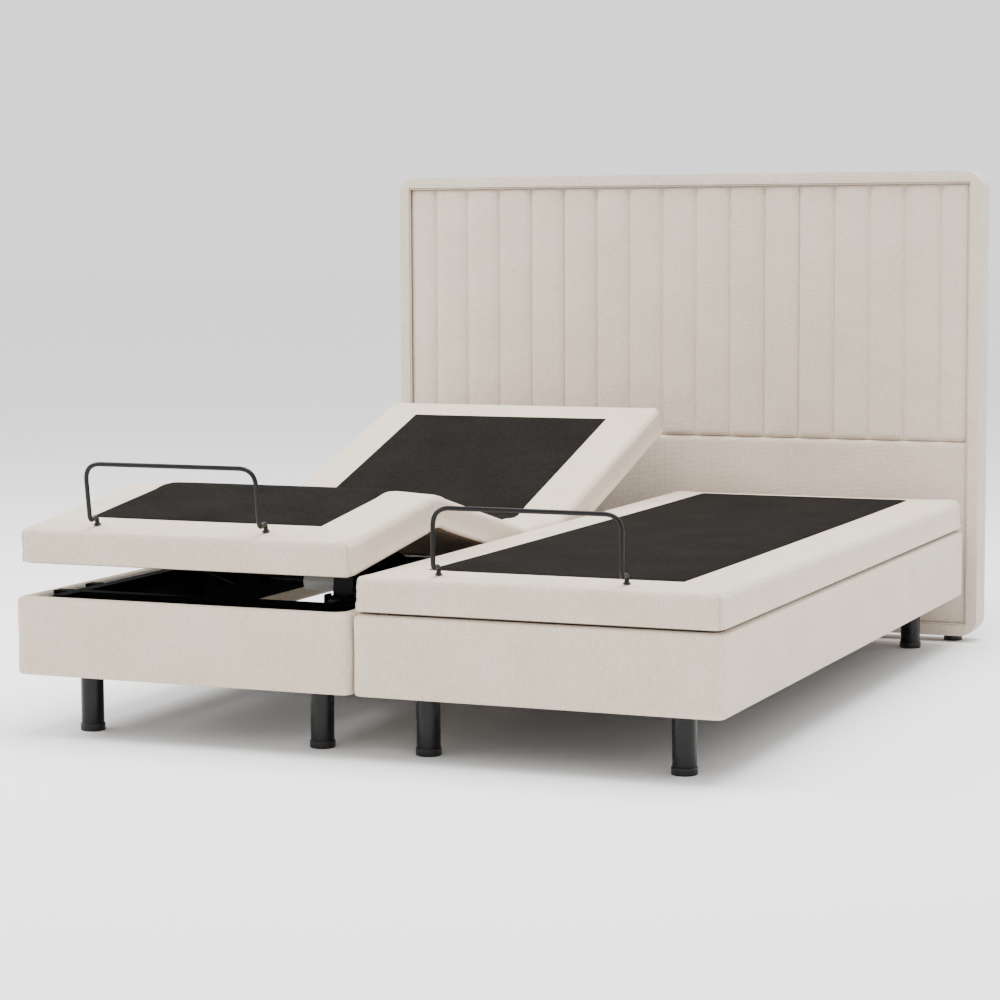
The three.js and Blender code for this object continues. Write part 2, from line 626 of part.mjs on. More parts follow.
// ---- the headboard ------------------------------------------------------------------------------
/** The shared headboard, standing on its own two feet behind the units. */
function makeHeadboard() {
  const group = new THREE.Group();
  const { width, top, bottom, setback, depth, rim, corner, seam } = HEADBOARD;
  const half = width / 2;
  const front = UNIT.length + setback;
  const ring = roundedRectangle(THREE.Shape, [-half, half], [bottom, top], corner);
  const hole = [bottom + rim, top - rim];
  ring.holes.push(roundedRectangle(THREE.Path, [-half + rim, half - rim], hole, corner - rim));
  const upright = (shape, thickness, y) =>
    new THREE.ExtrudeGeometry(shape, { depth: thickness, bevelEnabled: false, curveSegments: 6 })
      .rotateX(Math.PI / 2)
      .translate(0, y + thickness, 0);
  group.add(piece("headboard_rim", upright(ring, depth, front), FABRIC));
  const inner = [-half + rim + GAP, half - rim - GAP];
  const [low, high] = [bottom + rim + GAP, top - rim - GAP];
  const radius = corner - rim - GAP;
  const panel = roundedRectangle(THREE.Shape, inner, [low, high], radius);
  const boardY = front + FIELD.inset + FIELD.channelDepth + GAP;
  group.add(piece("headboard_board", upright(panel, FIELD.board, boardY), PLYWOOD));
  const upper = roundedRectangle(THREE.Shape, inner, [seam, high], radius);
  group.add(piece("headboard_channel_pad", upright(upper, FIELD.channelDepth, front + FIELD.inset), FABRIC));
  const lower = roundedRectangle(THREE.Shape, inner, [low, seam - GAP], radius);
  const lowerY = boardY - GAP - FIELD.lowerDepth;
  group.add(piece("headboard_lower_pad", upright(lower, FIELD.lowerDepth, lowerY), FABRIC));
  for (const [name, side] of [["headboard_left_foot", -1], ["headboard_right_foot", 1]]) {
    const { footRadius, footInset } = FIELD;
    const foot = new THREE.CylinderGeometry(footRadius, footRadius - 3, bottom - GAP, 24);
    foot.rotateX(Math.PI / 2).translate(side * (half - footInset), front + depth / 2, (bottom - GAP) / 2);
    group.add(piece(name, foot, BLACK_PLASTIC));
  }
  return group;
}

// ---- the whole bed ------------------------------------------------------------------------------
const bed = new THREE.Group();
bed.position.y = -DEPTH / 2;
const left = makeUnit("left", RAISED);
const right = makeUnit("right", FLAT);
left.position.x = -(UNIT.width + UNIT.spacing) / 2;
right.position.x = (UNIT.width + UNIT.spacing) / 2;
bed.add(left, right, makeHeadboard());

export default bed;
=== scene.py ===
"""Looks for a split adjustable bed base: cloth covers, coated steel and a channelled headboard.

Everything is in metres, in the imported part's own frame: +Y runs towards the headboard and +Z is up.
"""

import json
import logging
import math
from collections.abc import Callable, Sequence
from dataclasses import dataclass, field
from enum import Enum

import bpy
import numpy as np
from mathutils import Matrix, Vector


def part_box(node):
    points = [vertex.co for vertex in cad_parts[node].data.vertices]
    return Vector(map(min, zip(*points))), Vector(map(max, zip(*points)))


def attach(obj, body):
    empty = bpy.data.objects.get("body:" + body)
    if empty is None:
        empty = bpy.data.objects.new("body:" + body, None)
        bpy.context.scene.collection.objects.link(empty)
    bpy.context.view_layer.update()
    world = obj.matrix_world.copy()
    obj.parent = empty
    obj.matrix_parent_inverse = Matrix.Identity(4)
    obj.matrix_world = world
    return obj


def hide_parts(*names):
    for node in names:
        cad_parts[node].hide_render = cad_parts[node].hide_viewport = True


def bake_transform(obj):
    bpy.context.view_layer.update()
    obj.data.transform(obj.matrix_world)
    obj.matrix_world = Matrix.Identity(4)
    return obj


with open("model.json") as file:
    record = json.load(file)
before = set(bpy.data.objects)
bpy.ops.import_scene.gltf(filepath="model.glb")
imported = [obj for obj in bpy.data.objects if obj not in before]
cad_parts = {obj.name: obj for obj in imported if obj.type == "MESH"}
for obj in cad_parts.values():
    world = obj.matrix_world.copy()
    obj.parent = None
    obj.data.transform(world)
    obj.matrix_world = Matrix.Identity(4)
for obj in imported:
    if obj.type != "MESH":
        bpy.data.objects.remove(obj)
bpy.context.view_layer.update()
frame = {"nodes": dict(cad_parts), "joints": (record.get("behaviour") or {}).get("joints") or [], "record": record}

log = logging.getLogger("bed")
MM = 0.001
CLOTH_UV = "cloth"


class Side(Enum):
    """The two units, as seen from the foot end."""

    LEFT = "left"
    RIGHT = "right"


class Section(Enum):
    """The sections of one deck, each with the ending of the body that it rides on."""

    CALF = "calf"
    THIGH = "thigh"
    SEAT = "base"
    BACK = "back"


# ---- small helpers --------------------------------------------------------------------------------


def linear(hex_colour: str, alpha: float = 1.0) -> tuple[float, float, float, float]:
    """Turns an sRGB hex colour into the linear values that a shader socket takes.

    Args:
        hex_colour: six hex digits, with or without a leading hash.
        alpha: the fourth value.

    Returns:
        Linear red, green, blue and alpha.
    """
    digits = hex_colour.lstrip("#")
    channels = [int(digits[i : i + 2], 16) / 255 for i in (0, 2, 4)]
    turned = [c / 12.92 if c <= 0.04045 else ((c + 0.055) / 1.055) ** 2.4 for c in channels]
    return (turned[0], turned[1], turned[2], alpha)


def smooth(t: np.ndarray) -> np.ndarray:
    """A soft step from 0 to 1 as t goes from 0 to 1."""
    clipped = np.clip(t, 0.0, 1.0)
    return clipped * clipped * (3 - 2 * clipped)


def only(obj: bpy.types.Object) -> None:
    """Selects one object and nothing else, and makes it active.

    Args:
        obj: the object.
    """
    bpy.ops.object.select_all(action="DESELECT")
    obj.select_set(True)
    bpy.context.view_layer.objects.active = obj


def coordinates(obj: bpy.types.Object) -> np.ndarray:
    """The vertex positions of a mesh object.

    Args:
        obj: the mesh object.

    Returns:
        An array with one row for each vertex.
    """
    flat = np.zeros(len(obj.data.vertices) * 3, np.float32)
    obj.data.vertices.foreach_get("co", flat)
    return flat.reshape(-1, 3).astype(float)


def set_coordinates(obj: bpy.types.Object, points: np.ndarray) -> None:
    """Writes vertex positions back to a mesh object."""
    obj.data.vertices.foreach_set("co", np.asarray(points, np.float32).ravel())
    obj.data.update()


def apply_modifier(obj: bpy.types.Object, kind: str, **settings: object) -> None:
    """Adds one modifier to an object and applies it at once.

    Args:
        obj: the object that gets it.
        kind: the modifier's type.
        settings: its properties.
    """
    only(obj)
    modifier = obj.modifiers.new(kind.title(), kind)
    for key, value in settings.items():
        setattr(modifier, key, value)
    bpy.ops.object.modifier_apply(modifier=modifier.name)


def box_primitive(name: str, low: Sequence[float], high: Sequence[float]) -> bpy.types.Object:
    """Adds a cube primitive that fills a box, with its place in its mesh.

    Args:
        name: the object's name.
        low: the lowest corner.
        high: the highest corner.

    Returns:
        The new object.
    """
    bpy.ops.object.select_all(action="DESELECT")
    centre = [(a + b) / 2 for a, b in zip(low, high)]
    bpy.ops.mesh.primitive_cube_add(size=1, location=centre)
    obj = bpy.context.active_object
    obj.name = obj.data.name = name
    obj.scale = [b - a for a, b in zip(low, high)]
    settle(obj)
    return obj


def cylinder_primitive(
    name: str, radius: float, low: Sequence[float], high: Sequence[float], sides: int = 48
) -> bpy.types.Object:
    """Adds a cylinder between two points, with its place in its mesh.

    Args:
        name: the object's name.
        radius: its radius.
        low: the middle of its first end.
        high: the middle of its last end.
        sides: how many sides it has.

    Returns:
        The new object.
    """
    bpy.ops.object.select_all(action="DESELECT")
    start, stop = Vector(low), Vector(high)
    along = stop - start
    bpy.ops.mesh.primitive_cylinder_add(
        vertices=sides, radius=radius, depth=along.length, location=(start + stop) / 2
    )
    obj = bpy.context.active_object
    obj.name = obj.data.name = name
    obj.rotation_euler = along.to_track_quat("Z", "Y").to_euler()
    settle(obj)
    return obj


def settle(obj: bpy.types.Object) -> None:
    """Moves an object's place, turn and scale into its mesh."""
    only(obj)
    bpy.ops.object.transform_apply(location=True, rotation=True, scale=True)


def select_faces(obj: bpy.types.Object, wanted: Callable[[bpy.types.MeshPolygon], bool]) -> None:
    """Selects the faces that a test accepts, and leaves the object in edit mode.

    Args:
        obj: the mesh object.
        wanted: the test of a face.
    """
    only(obj)
    bpy.ops.object.mode_set(mode="EDIT")
    bpy.ops.mesh.select_mode(type="FACE")
    bpy.ops.mesh.select_all(action="DESELECT")
    bpy.ops.object.mode_set(mode="OBJECT")
    for face in obj.data.polygons:
        face.select = bool(wanted(face))
    bpy.ops.object.mode_set(mode="EDIT")


def select_edges(obj: bpy.types.Object, wanted: Callable[[Vector, Vector], bool]) -> None:
    """Selects the edges whose two ends a test accepts, and leaves the object in edit mode.

    Args:
        obj: the mesh object.
        wanted: the test of an edge's two ends.
    """
    only(obj)
    bpy.ops.object.mode_set(mode="EDIT")
    bpy.ops.mesh.select_mode(type="EDGE")
    bpy.ops.mesh.select_all(action="DESELECT")
    bpy.ops.object.mode_set(mode="OBJECT")
    points = obj.data.vertices
    for edge in obj.data.edges:
        edge.select = bool(wanted(points[edge.vertices[0]].co, points[edge.vertices[1]].co))
    bpy.ops.object.mode_set(mode="EDIT")


def leave_edit() -> None:
    """Goes back to object mode."""
    bpy.ops.object.mode_set(mode="OBJECT")


def copy_of(obj: bpy.types.Object, name: str) -> bpy.types.Object:
    """A copy of an object with a mesh of its own.

    Args:
        obj: the object to copy.
        name: the copy's name.

    Returns:
        The copy, linked to the scene.
    """
    twin = obj.copy()
    twin.data = obj.data.copy()
    twin.name = twin.data.name = name
    bpy.context.scene.collection.objects.link(twin)
    return twin


def shade(obj: bpy.types.Object, degrees: float = 40.0) -> None:
    """Shades an object smooth, but for edges sharper than an angle."""
    only(obj)
    bpy.ops.object.shade_smooth_by_angle(angle=math.radians(degrees))


def tube(
    name: str, route: Sequence[Sequence[float]], radius: float, closed: bool = False
) -> bpy.types.Object:
    """Sweeps a round section along a line of points.

    Args:
        name: the tube's name.
        route: the points.
        radius: the section's radius.
        closed: whether its last point runs on to its first one.

    Returns:
        The tube, as a mesh.
    """
    curve = bpy.data.curves.new(name, "CURVE")
    curve.dimensions = "3D"
    curve.bevel_depth = radius
    curve.bevel_resolution = 6
    curve.use_fill_caps = not closed
    spline = curve.splines.new("POLY")
    spline.points.add(len(route) - 1)
    for point, spot in zip(spline.points, route):
        point.co = (*spot, 1)
    spline.use_cyclic_u = closed
    obj = bpy.data.objects.new(name, curve)
    bpy.context.scene.collection.objects.link(obj)
    only(obj)
    bpy.ops.object.convert(target="MESH")
    obj.data.name = name
    return obj


def box_uv(obj: bpy.types.Object, flat: np.ndarray) -> None:
    """Lays the cloth's map on a piece, in metres, by the way each face looks while it is flat.

    Args:
        obj: the mesh object.
        flat: where each vertex lies while the piece is flat.
    """
    mesh = obj.data
    layer = mesh.uv_layers.get(CLOTH_UV) or mesh.uv_layers.new(name=CLOTH_UV)
    loops = np.zeros(len(mesh.loops), np.int32)
    mesh.loops.foreach_get("vertex_index", loops)
    starts = np.zeros(len(mesh.polygons), np.int32)
    counts = np.zeros(len(mesh.polygons), np.int32)
    mesh.polygons.foreach_get("loop_start", starts)
    mesh.polygons.foreach_get("loop_total", counts)
    corners = [flat[loops[starts + k]] for k in range(3)]
    normal = np.abs(np.cross(corners[1] - corners[0], corners[2] - corners[0]))
    facing = np.repeat(np.argmax(normal, axis=1), counts)
    order = np.argsort(np.repeat(starts, counts) + _within(counts), kind="stable")
    facing = facing[order]
    place = flat[loops]
    u = np.where(facing == 0, place[:, 1], place[:, 0])
    v = np.where(facing == 2, place[:, 1], place[:, 2])
    layer.data.foreach_set("uv", np.stack([u, v], axis=1).astype(np.float32).ravel())


def _within(counts: np.ndarray) -> np.ndarray:
    """Numbers the corners within each face, from 0."""
    ends = np.cumsum(counts)
    return np.arange(ends[-1]) - np.repeat(ends - counts, counts)


# ---- materials ------------------------------------------------------------------------------------


class Graph:
    """A material's node tree, with one method that adds a node."""

    def __init__(self, name: str) -> None:
        """Starts an empty material with an output and a Principled shader.

        Args:
            name: the material's name.
        """
        self.material = bpy.data.materials.new(name)
        self.material.use_nodes = True
        self.tree = self.material.node_tree
        self.tree.nodes.clear()
        self.output = self.tree.nodes.new("ShaderNodeOutputMaterial")
        self.shader = self.tree.nodes.new("ShaderNodeBsdfPrincipled")
        self.tree.links.new(self.shader.outputs[0], self.output.inputs["Surface"])

    def add(
        self,
        kind: str,
        values: dict[str | int, object] | None = None,
        links: dict[str | int, bpy.types.NodeSocket] | None = None,
        **settings: object,
    ) -> bpy.types.Node:
        """Adds a node with its settings, socket values and incoming links.

        Args:
            kind: the node's type, without its leading "ShaderNode".
            values: what its unlinked sockets are set to.
            links: the sockets that feed it.
            settings: its own properties.

        Returns:
            The new node.
        """
        node = self.tree.nodes.new("ShaderNode" + kind)
        for key, value in settings.items():
            setattr(node, key, value)
        for key, value in (values or {}).items():
            node.inputs[key].default_value = value
        for key, socket in (links or {}).items():
            self.tree.links.new(socket, node.inputs[key])
        return node

    def feed(self, socket: str, source: bpy.types.NodeSocket) -> None:
        """Links a socket of the shader."""
        self.tree.links.new(source, self.shader.inputs[socket])

    def set(self, **values: object) -> None:
        """Sets sockets of the shader, with underscores for the spaces in their names."""
        for key, value in values.items():
            self.shader.inputs[key.replace("_", " ")].default_value = value

    def blend_colours(
        self, share: bpy.types.NodeSocket, low: str, high: str, reach: tuple[float, float]
    ) -> bpy.types.NodeSocket:
        """Turns a value into a colour between two, over a reach of that value.

        Args:
            share: the value.
            low: the colour at the reach's low end.
            high: the colour at its high end.
            reach: the two ends.

        Returns:
            The colour socket.
        """
        ramp = self.add("ValToRGB", links={"Fac": share})
        ramp.color_ramp.elements[0].position = reach[0]
        ramp.color_ramp.elements[0].color = linear(low)
        ramp.color_ramp.elements[1].position = reach[1]
        ramp.color_ramp.elements[1].color = linear(high)
        return ramp.outputs["Color"]


def wave_scale(pitch: float) -> float:
    """The Wave Texture scale whose bands repeat every pitch metres."""
    return math.tau / (20 * pitch)


@dataclass(frozen=True)
class WovenCloth:
    """Polyester upholstery cloth, woven with a fine rib and slubs in both directions.

    To the eye it is matt with a soft bloom at grazing angles, and its ribs and slubs break up the colour.
    The ribs of the real cloth are finer, and are drawn as coarse as they need to be to show.
    """

    name: str
    light: str
    dark: str
    rib: float = 5.2 * MM
    weft: float = 3.4 * MM
    relief: float = 0.6 * MM
    sheen: float = 0.22
    gloss: float = 0.3

    def build(self) -> bpy.types.Material:
        """Makes the material.

        Returns:
            The material.
        """
        graph = Graph(self.name)
        place = graph.add("UVMap", uv_map=CLOTH_UV).outputs["UV"]
        rib = graph.add(
            "TexWave",
            {"Scale": wave_scale(self.rib), "Distortion": 1.2, "Detail": 2.0, "Detail Scale": 1.5},
            {"Vector": place},
            bands_direction="X",
        )
        weft = graph.add(
            "TexWave",
            {"Scale": wave_scale(self.weft), "Distortion": 1.6, "Detail": 2.0, "Detail Scale": 1.5},
            {"Vector": place},
            bands_direction="Y",
        )
        # A slub is about 2 mm thick and 20 mm long, and runs along its own thread.
        upright = graph.add("Mapping", {"Scale": (420.0, 46.0, 1.0)}, {"Vector": place})
        level = graph.add("Mapping", {"Scale": (52.0, 520.0, 1.0)}, {"Vector": place})
        slub_u = graph.add(
            "TexNoise", {"Scale": 1.0, "Detail": 3.0, "Roughness": 0.6}, {"Vector": upright.outputs[0]}
        )
        slub_v = graph.add(
            "TexNoise", {"Scale": 1.0, "Detail": 3.0, "Roughness": 0.6}, {"Vector": level.outputs[0]}
        )
        cloud = graph.add("TexNoise", {"Scale": 7.0, "Detail": 4.0}, {"Vector": place})
        threads = graph.add(
            "Math", links={0: rib.outputs["Fac"], 1: weft.outputs["Fac"]}, operation="ADD"
        )
        slubs = graph.add(
            "Math", links={0: slub_u.outputs["Fac"], 1: slub_v.outputs["Fac"]}, operation="ADD"
        )
        height = graph.add(
            "Math", {1: 0.55}, {0: slubs.outputs[0], 2: threads.outputs[0]}, operation="MULTIPLY_ADD"
        )
        tone = graph.add(
            "Math", {1: 0.3}, {0: threads.outputs[0], 2: slubs.outputs[0]}, operation="MULTIPLY_ADD"
        )
        clouded = graph.add(
            "Math", {1: 0.45}, {0: cloud.outputs["Fac"], 2: tone.outputs[0]}, operation="MULTIPLY_ADD"
        )
        spread = graph.add(
            "MapRange", {"From Min": 1.05, "From Max": 1.95}, {"Value": clouded.outputs[0]}
        )
        colour = graph.blend_colours(spread.outputs[0], self.dark, self.light, (0.1, 0.9))
        graph.feed("Base Color", colour)
        bump = graph.add(
            "Bump", {"Strength": 0.8, "Distance": self.relief}, {"Height": height.outputs[0]}
        )
        graph.feed("Normal", bump.outputs[0])
        graph.set(Roughness=0.95, IOR=1.4, Specular_IOR_Level=self.gloss)
        graph.set(Sheen_Weight=self.sheen, Sheen_Roughness=0.45)
        return graph.material


@dataclass(frozen=True)
class PowderCoat:
    """Steel with a satin black powder coat: a fine orange peel that softens its highlights."""

    name: str
    colour: str = "#060505"
    roughness: float = 0.26
    gloss: float = 0.28

    def build(self) -> bpy.types.Material:
        """Makes the material.

        Returns:
            The material.
        """
        graph = Graph(self.name)
        place = graph.add("TexCoord").outputs["Object"]
        peel = graph.add("TexNoise", {"Scale": 900.0, "Detail": 2.0}, {"Vector": place})
        wear = graph.add("TexNoise", {"Scale": 22.0, "Detail": 5.0}, {"Vector": place})
        gloss = graph.add(
            "MapRange",
            {"To Min": self.roughness - 0.06, "To Max": self.roughness + 0.1},
            {"Value": wear.outputs["Fac"]},
        )
        bump = graph.add(
            "Bump", {"Strength": 0.25, "Distance": 0.12 * MM}, {"Height": peel.outputs["Fac"]}
        )
        colour = graph.blend_colours(wear.outputs["Fac"], self.colour, "#0d0c0b", (0.3, 0.9))
        graph.feed("Base Color", colour)
        graph.feed("Roughness", gloss.outputs[0])
        graph.feed("Normal", bump.outputs[0])
        graph.set(IOR=1.45, Specular_IOR_Level=self.gloss)
        return graph.material


@dataclass(frozen=True)
class MouldedPlastic:
    """Injection-moulded plastic with the fine spark-eroded grain of its tool."""

    name: str
    colour: str
    worn: str
    roughness: float = 0.48

    def build(self) -> bpy.types.Material:
        """Makes the material.

        Returns:
            The material.
        """
        graph = Graph(self.name)
        place = graph.add("TexCoord").outputs["Object"]
        grain = graph.add("TexNoise", {"Scale": 1400.0, "Detail": 3.0}, {"Vector": place})
        cloud = graph.add("TexNoise", {"Scale": 14.0, "Detail": 4.0}, {"Vector": place})
        bump = graph.add(
            "Bump", {"Strength": 0.35, "Distance": 0.08 * MM}, {"Height": grain.outputs["Fac"]}
        )
        graph.feed(
            "Base Color", graph.blend_colours(cloud.outputs["Fac"], self.colour, self.worn, (0.35, 0.8))
        )
        graph.feed("Normal", bump.outputs[0])
        graph.set(Roughness=self.roughness, IOR=1.5, Specular_IOR_Level=0.35)
        return graph.material


@dataclass(frozen=True)
class ZincPlate:
    """Bright zinc-plated steel, drawn along its length, with the faint bloom of its passivation."""

    name: str

    def build(self) -> bpy.types.Material:
        """Makes the material.

        Returns:
            The material.
        """
        graph = Graph(self.name)
        place = graph.add("TexCoord").outputs["Object"]
        drawn = graph.add("Mapping", {"Scale": (900.0, 12.0, 900.0)}, {"Vector": place})
        lines = graph.add("TexNoise", {"Scale": 1.0, "Detail": 2.0}, {"Vector": drawn.outputs[0]})
        bloom = graph.add("TexNoise", {"Scale": 30.0, "Detail": 5.0}, {"Vector": place})
        gloss = graph.add(
            "MapRange", {"To Min": 0.26, "To Max": 0.42}, {"Value": lines.outputs["Fac"]}
        )
        graph.feed(
            "Base Color", graph.blend_colours(bloom.outputs["Fac"], "#a3a5a6", "#c6c7c5", (0.3, 0.75))
        )
        graph.feed("Roughness", gloss.outputs[0])
        graph.set(Metallic=1.0)
        return graph.material


@dataclass(frozen=True)
class DustCloth:
    """Black spun-bonded dust cloth, embossed with a fine dot grid."""

    name: str
    colour: str = "#100f0f"
    pale: str = "#1d1b1a"
    dot: float = 2.5 * MM

    def build(self) -> bpy.types.Material:
        """Makes the material.

        Returns:
            The material.
        """
        graph = Graph(self.name)
        place = graph.add("TexCoord").outputs["Object"]
        dots = graph.add("TexVoronoi", {"Scale": 1 / self.dot, "Randomness": 0.2}, {"Vector": place})
        fibres = graph.add("TexNoise", {"Scale": 260.0, "Detail": 5.0}, {"Vector": place})
        bump = graph.add(
            "Bump", {"Strength": 0.5, "Distance": 0.2 * MM}, {"Height": dots.outputs["Distance"]}
        )
        graph.feed(
            "Base Color", graph.blend_colours(fibres.outputs["Fac"], self.colour, self.pale, (0.3, 0.8))
        )
        graph.feed("Normal", bump.outputs[0])
        graph.set(Roughness=0.95, Specular_IOR_Level=0.05)
        return graph.material


@dataclass
class Finishes:
    """Every material of the bed, made once."""

    upholstery: bpy.types.Material
    headboard: bpy.types.Material
    platform: bpy.types.Material
    steel: bpy.types.Material
    frame_steel: bpy.types.Material
    housing: bpy.types.Material
    nylon: bpy.types.Material
    zinc: bpy.types.Material
    lining: bpy.types.Material
    underlay: bpy.types.Material
    strip: bpy.types.Material
    thread: bpy.types.Material

    @classmethod
    def make(cls) -> "Finishes":
        """Builds them all.

        Returns:
            The set of finishes.
        """
        return cls(
            upholstery=WovenCloth("woven_upholstery_cloth", "#ddd0bd", "#bfae98").build(),
            headboard=WovenCloth("woven_headboard_cloth", "#d9cbbb", "#bcab9a").build(),
            platform=WovenCloth(
                "woven_platform_cloth", "#252321", "#0f0e0d", 4.0 * MM, 3.0 * MM, 0.3 * MM, 0.0, 0.02
            ).build(),
            steel=PowderCoat("powder_coated_steel").build(),
            frame_steel=PowderCoat("powder_coated_steel_matt", "#040404", 0.7, 0.03).build(),
            housing=MouldedPlastic("moulded_abs_grey", "#a9aaa5", "#bcbdb8").build(),
            nylon=MouldedPlastic("moulded_nylon_black", "#060606", "#0c0c0c", 0.42).build(),
            zinc=ZincPlate("zinc_plated_steel").build(),
            lining=DustCloth("spun_bonded_dust_cloth").build(),
            # Brown-grey cloth for the boards under the deck: its colour is painted shade, standing in for the pale
            # cover cloth seen in shadow under the raised sections.
            underlay=DustCloth("stitch_bonded_underlay_cloth", "#54493f", "#6f6358", 3.2 * MM).build(),
            strip=MouldedPlastic("extruded_pvc_strip_white", "#dedddb", "#efeeec", 0.35).build(),
            thread=MouldedPlastic("spun_polyester_thread", "#b5aba0", "#c9c0b6", 0.8).build(),
        )


def dress(obj: bpy.types.Object, *materials: bpy.types.Material) -> None:
    """Gives an object its materials, in place of any that it has.

    Args:
        obj: the object.
        materials: its materials, in the order of their slots.
    """
    obj.data.materials.clear()
    for material in materials:
        obj.data.materials.append(material)


# ---- cloth ----------------------------------------------------------------------------------------


@dataclass(frozen=True)
class Padding:
    """How foam under cloth fills out a cover: its mesh, its pressure and how far it may swell."""

    voxel: float
    pressure: float
    cap: float
    frames: int = 20

    def remesh(self, obj: bpy.types.Object) -> None:
        """Gives a cover an even mesh, and softens the steps that this leaves."""
        apply_modifier(obj, "REMESH", mode="VOXEL", voxel_size=self.voxel, use_smooth_shade=True)
        apply_modifier(obj, "SMOOTH", factor=0.5, iterations=1)

    def fill(self, obj: bpy.types.Object, hold: Callable[[np.ndarray], np.ndarray]) -> None:
        """Fills a cover by cloth simulation, then adds one subdivision.

        Args:
            obj: the cover.
            hold: gives, for the vertices, how firmly each is held, from 0 to 1.
        """
        before = coordinates(obj)
        held = hold(before)
        moved = self._simulate(obj, held)
        shift = moved - before
        length = np.linalg.norm(shift, axis=1, keepdims=True)
        limit = self.cap * (1 - held)[:, None]
        shift *= np.minimum(1.0, limit / np.maximum(length, 1e-9))
        set_coordinates(obj, before + shift)
        apply_modifier(obj, "SMOOTH", factor=0.3, iterations=1)
        apply_modifier(obj, "SUBSURF", levels=1, render_levels=1)

    def _simulate(self, obj: bpy.types.Object, held: np.ndarray) -> np.ndarray:
        """Runs the cloth.

        Args:
            obj: the cover.
            held: how firmly each vertex is held, from 0 to 1.

        Returns:
            Where the vertices end.
        """
        group = obj.vertex_groups.new(name="held")
        for level in np.unique(np.round(held, 1)):
            if level > 0:
                members = np.flatnonzero(np.round(held, 1) == level)
                group.add([int(i) for i in members], float(level), "REPLACE")
        only(obj)
        cloth = obj.modifiers.new("Cloth", "CLOTH")
        settings = cloth.settings
        settings.quality = 4
        settings.mass = 0.3
        settings.tension_stiffness = 20
        settings.compression_stiffness = 12
        settings.bending_stiffness = 0.4
        settings.use_pressure = True
        settings.uniform_pressure_force = self.pressure
        settings.vertex_group_mass = "held"
        settings.effector_weights.gravity = 0
        cloth.point_cache.frame_start = 1
        cloth.point_cache.frame_end = self.frames
        scene = bpy.context.scene
        for number in range(1, self.frames + 1):
            scene.frame_set(number)
        result = obj.evaluated_get(bpy.context.evaluated_depsgraph_get())
        flat = np.zeros(len(result.data.vertices) * 3, np.float32)
        result.data.vertices.foreach_get("co", flat)
        obj.modifiers.remove(cloth)
        obj.vertex_groups.remove(group)
        scene.frame_set(1)
        return flat.reshape(-1, 3).astype(float)


# ---- where one unit's pieces are --------------------------------------------------------------------


@dataclass(frozen=True)
class UnitPlace:
    """The measures of one unit, read from the frame, with angles in radians from flat."""

    side: Side
    centre: float
    half: float
    foot: float
    head: float
    deck_low: float
    deck_high: float
    base_low: float
    base_high: float
    axis: float
    knee: float
    hip: float
    back: float
    raised_back: float
    raised_thigh: float
    raised_calf: float

    @classmethod
    def read(cls, side: Side) -> "UnitPlace":
        """Reads a unit's measures; the flat unit gives the folds' places for both.

        Args:
            side: which unit.

        Returns:
            Its measures.
        """
        joints = {j["name"]: j for j in frame["joints"]}
        low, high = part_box(f"{side.value}_base_box")
        pad_low, pad_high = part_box("right_seat_pad")

        def fold(name: str) -> float:
            """Where a hinge is along Y."""
            return joints[f"right_{name}_hinge"]["pos_m"][1]

        def raised(name: str) -> float:
            """How far a hinge is from flat, which is its lower limit."""
            return -math.radians(min(0.0, joints[f"{side.value}_{name}_hinge"]["range_deg"][0]))

        ratios = {c["joint"]: c["ratio"] for c in frame["record"]["behaviour"]["couplings"]}
        return cls(
            side=side,
            centre=(low.x + high.x) / 2,
            half=(high.x - low.x) / 2,
            foot=low.y,
            head=high.y,
            deck_low=pad_low.z,
            deck_high=pad_high.z,
            base_low=low.z,
            base_high=high.z,
            axis=joints["right_back_hinge"]["pos_m"][2],
            knee=fold("calf"),
            hip=fold("thigh"),
            back=fold("back"),
            raised_back=raised("back"),
            raised_thigh=raised("thigh"),
            raised_calf=raised("thigh") * ratios[f"{side.value}_calf_hinge"],
        )

    def body(self, section: Section) -> str:
        """The body that a section rides on."""
        return "base" if section is Section.SEAT else f"{self.side.value}_{section.value}"


@dataclass(frozen=True)
class Fold:
    """A fold of the deck, where the cover bends over a stretch on each side of its rod."""

    place: float
    reach: float

    def weight(self, y: np.ndarray) -> np.ndarray:
        """How far along the fold a point is: 0 on the foot side and 1 on the head side."""
        return smooth((y - self.place + self.reach) / (2 * self.reach))


def turn_about(points: np.ndarray, y: float, z: float, angle: np.ndarray) -> np.ndarray:
    """Turns each point about a line along X, by its own angle.

    Args:
        points: the points, one a row.
        y: where the line is.
        z: where the line is.
        angle: the angle of each point, positive from +Y towards +Z.

    Returns:
        The turned points.
    """
    dy, dz = points[:, 1] - y, points[:, 2] - z
    cosine, sine = np.cos(angle), np.sin(angle)
    return np.stack(
        [points[:, 0], y + dy * cosine - dz * sine, z + dy * sine + dz * cosine], axis=1
    )


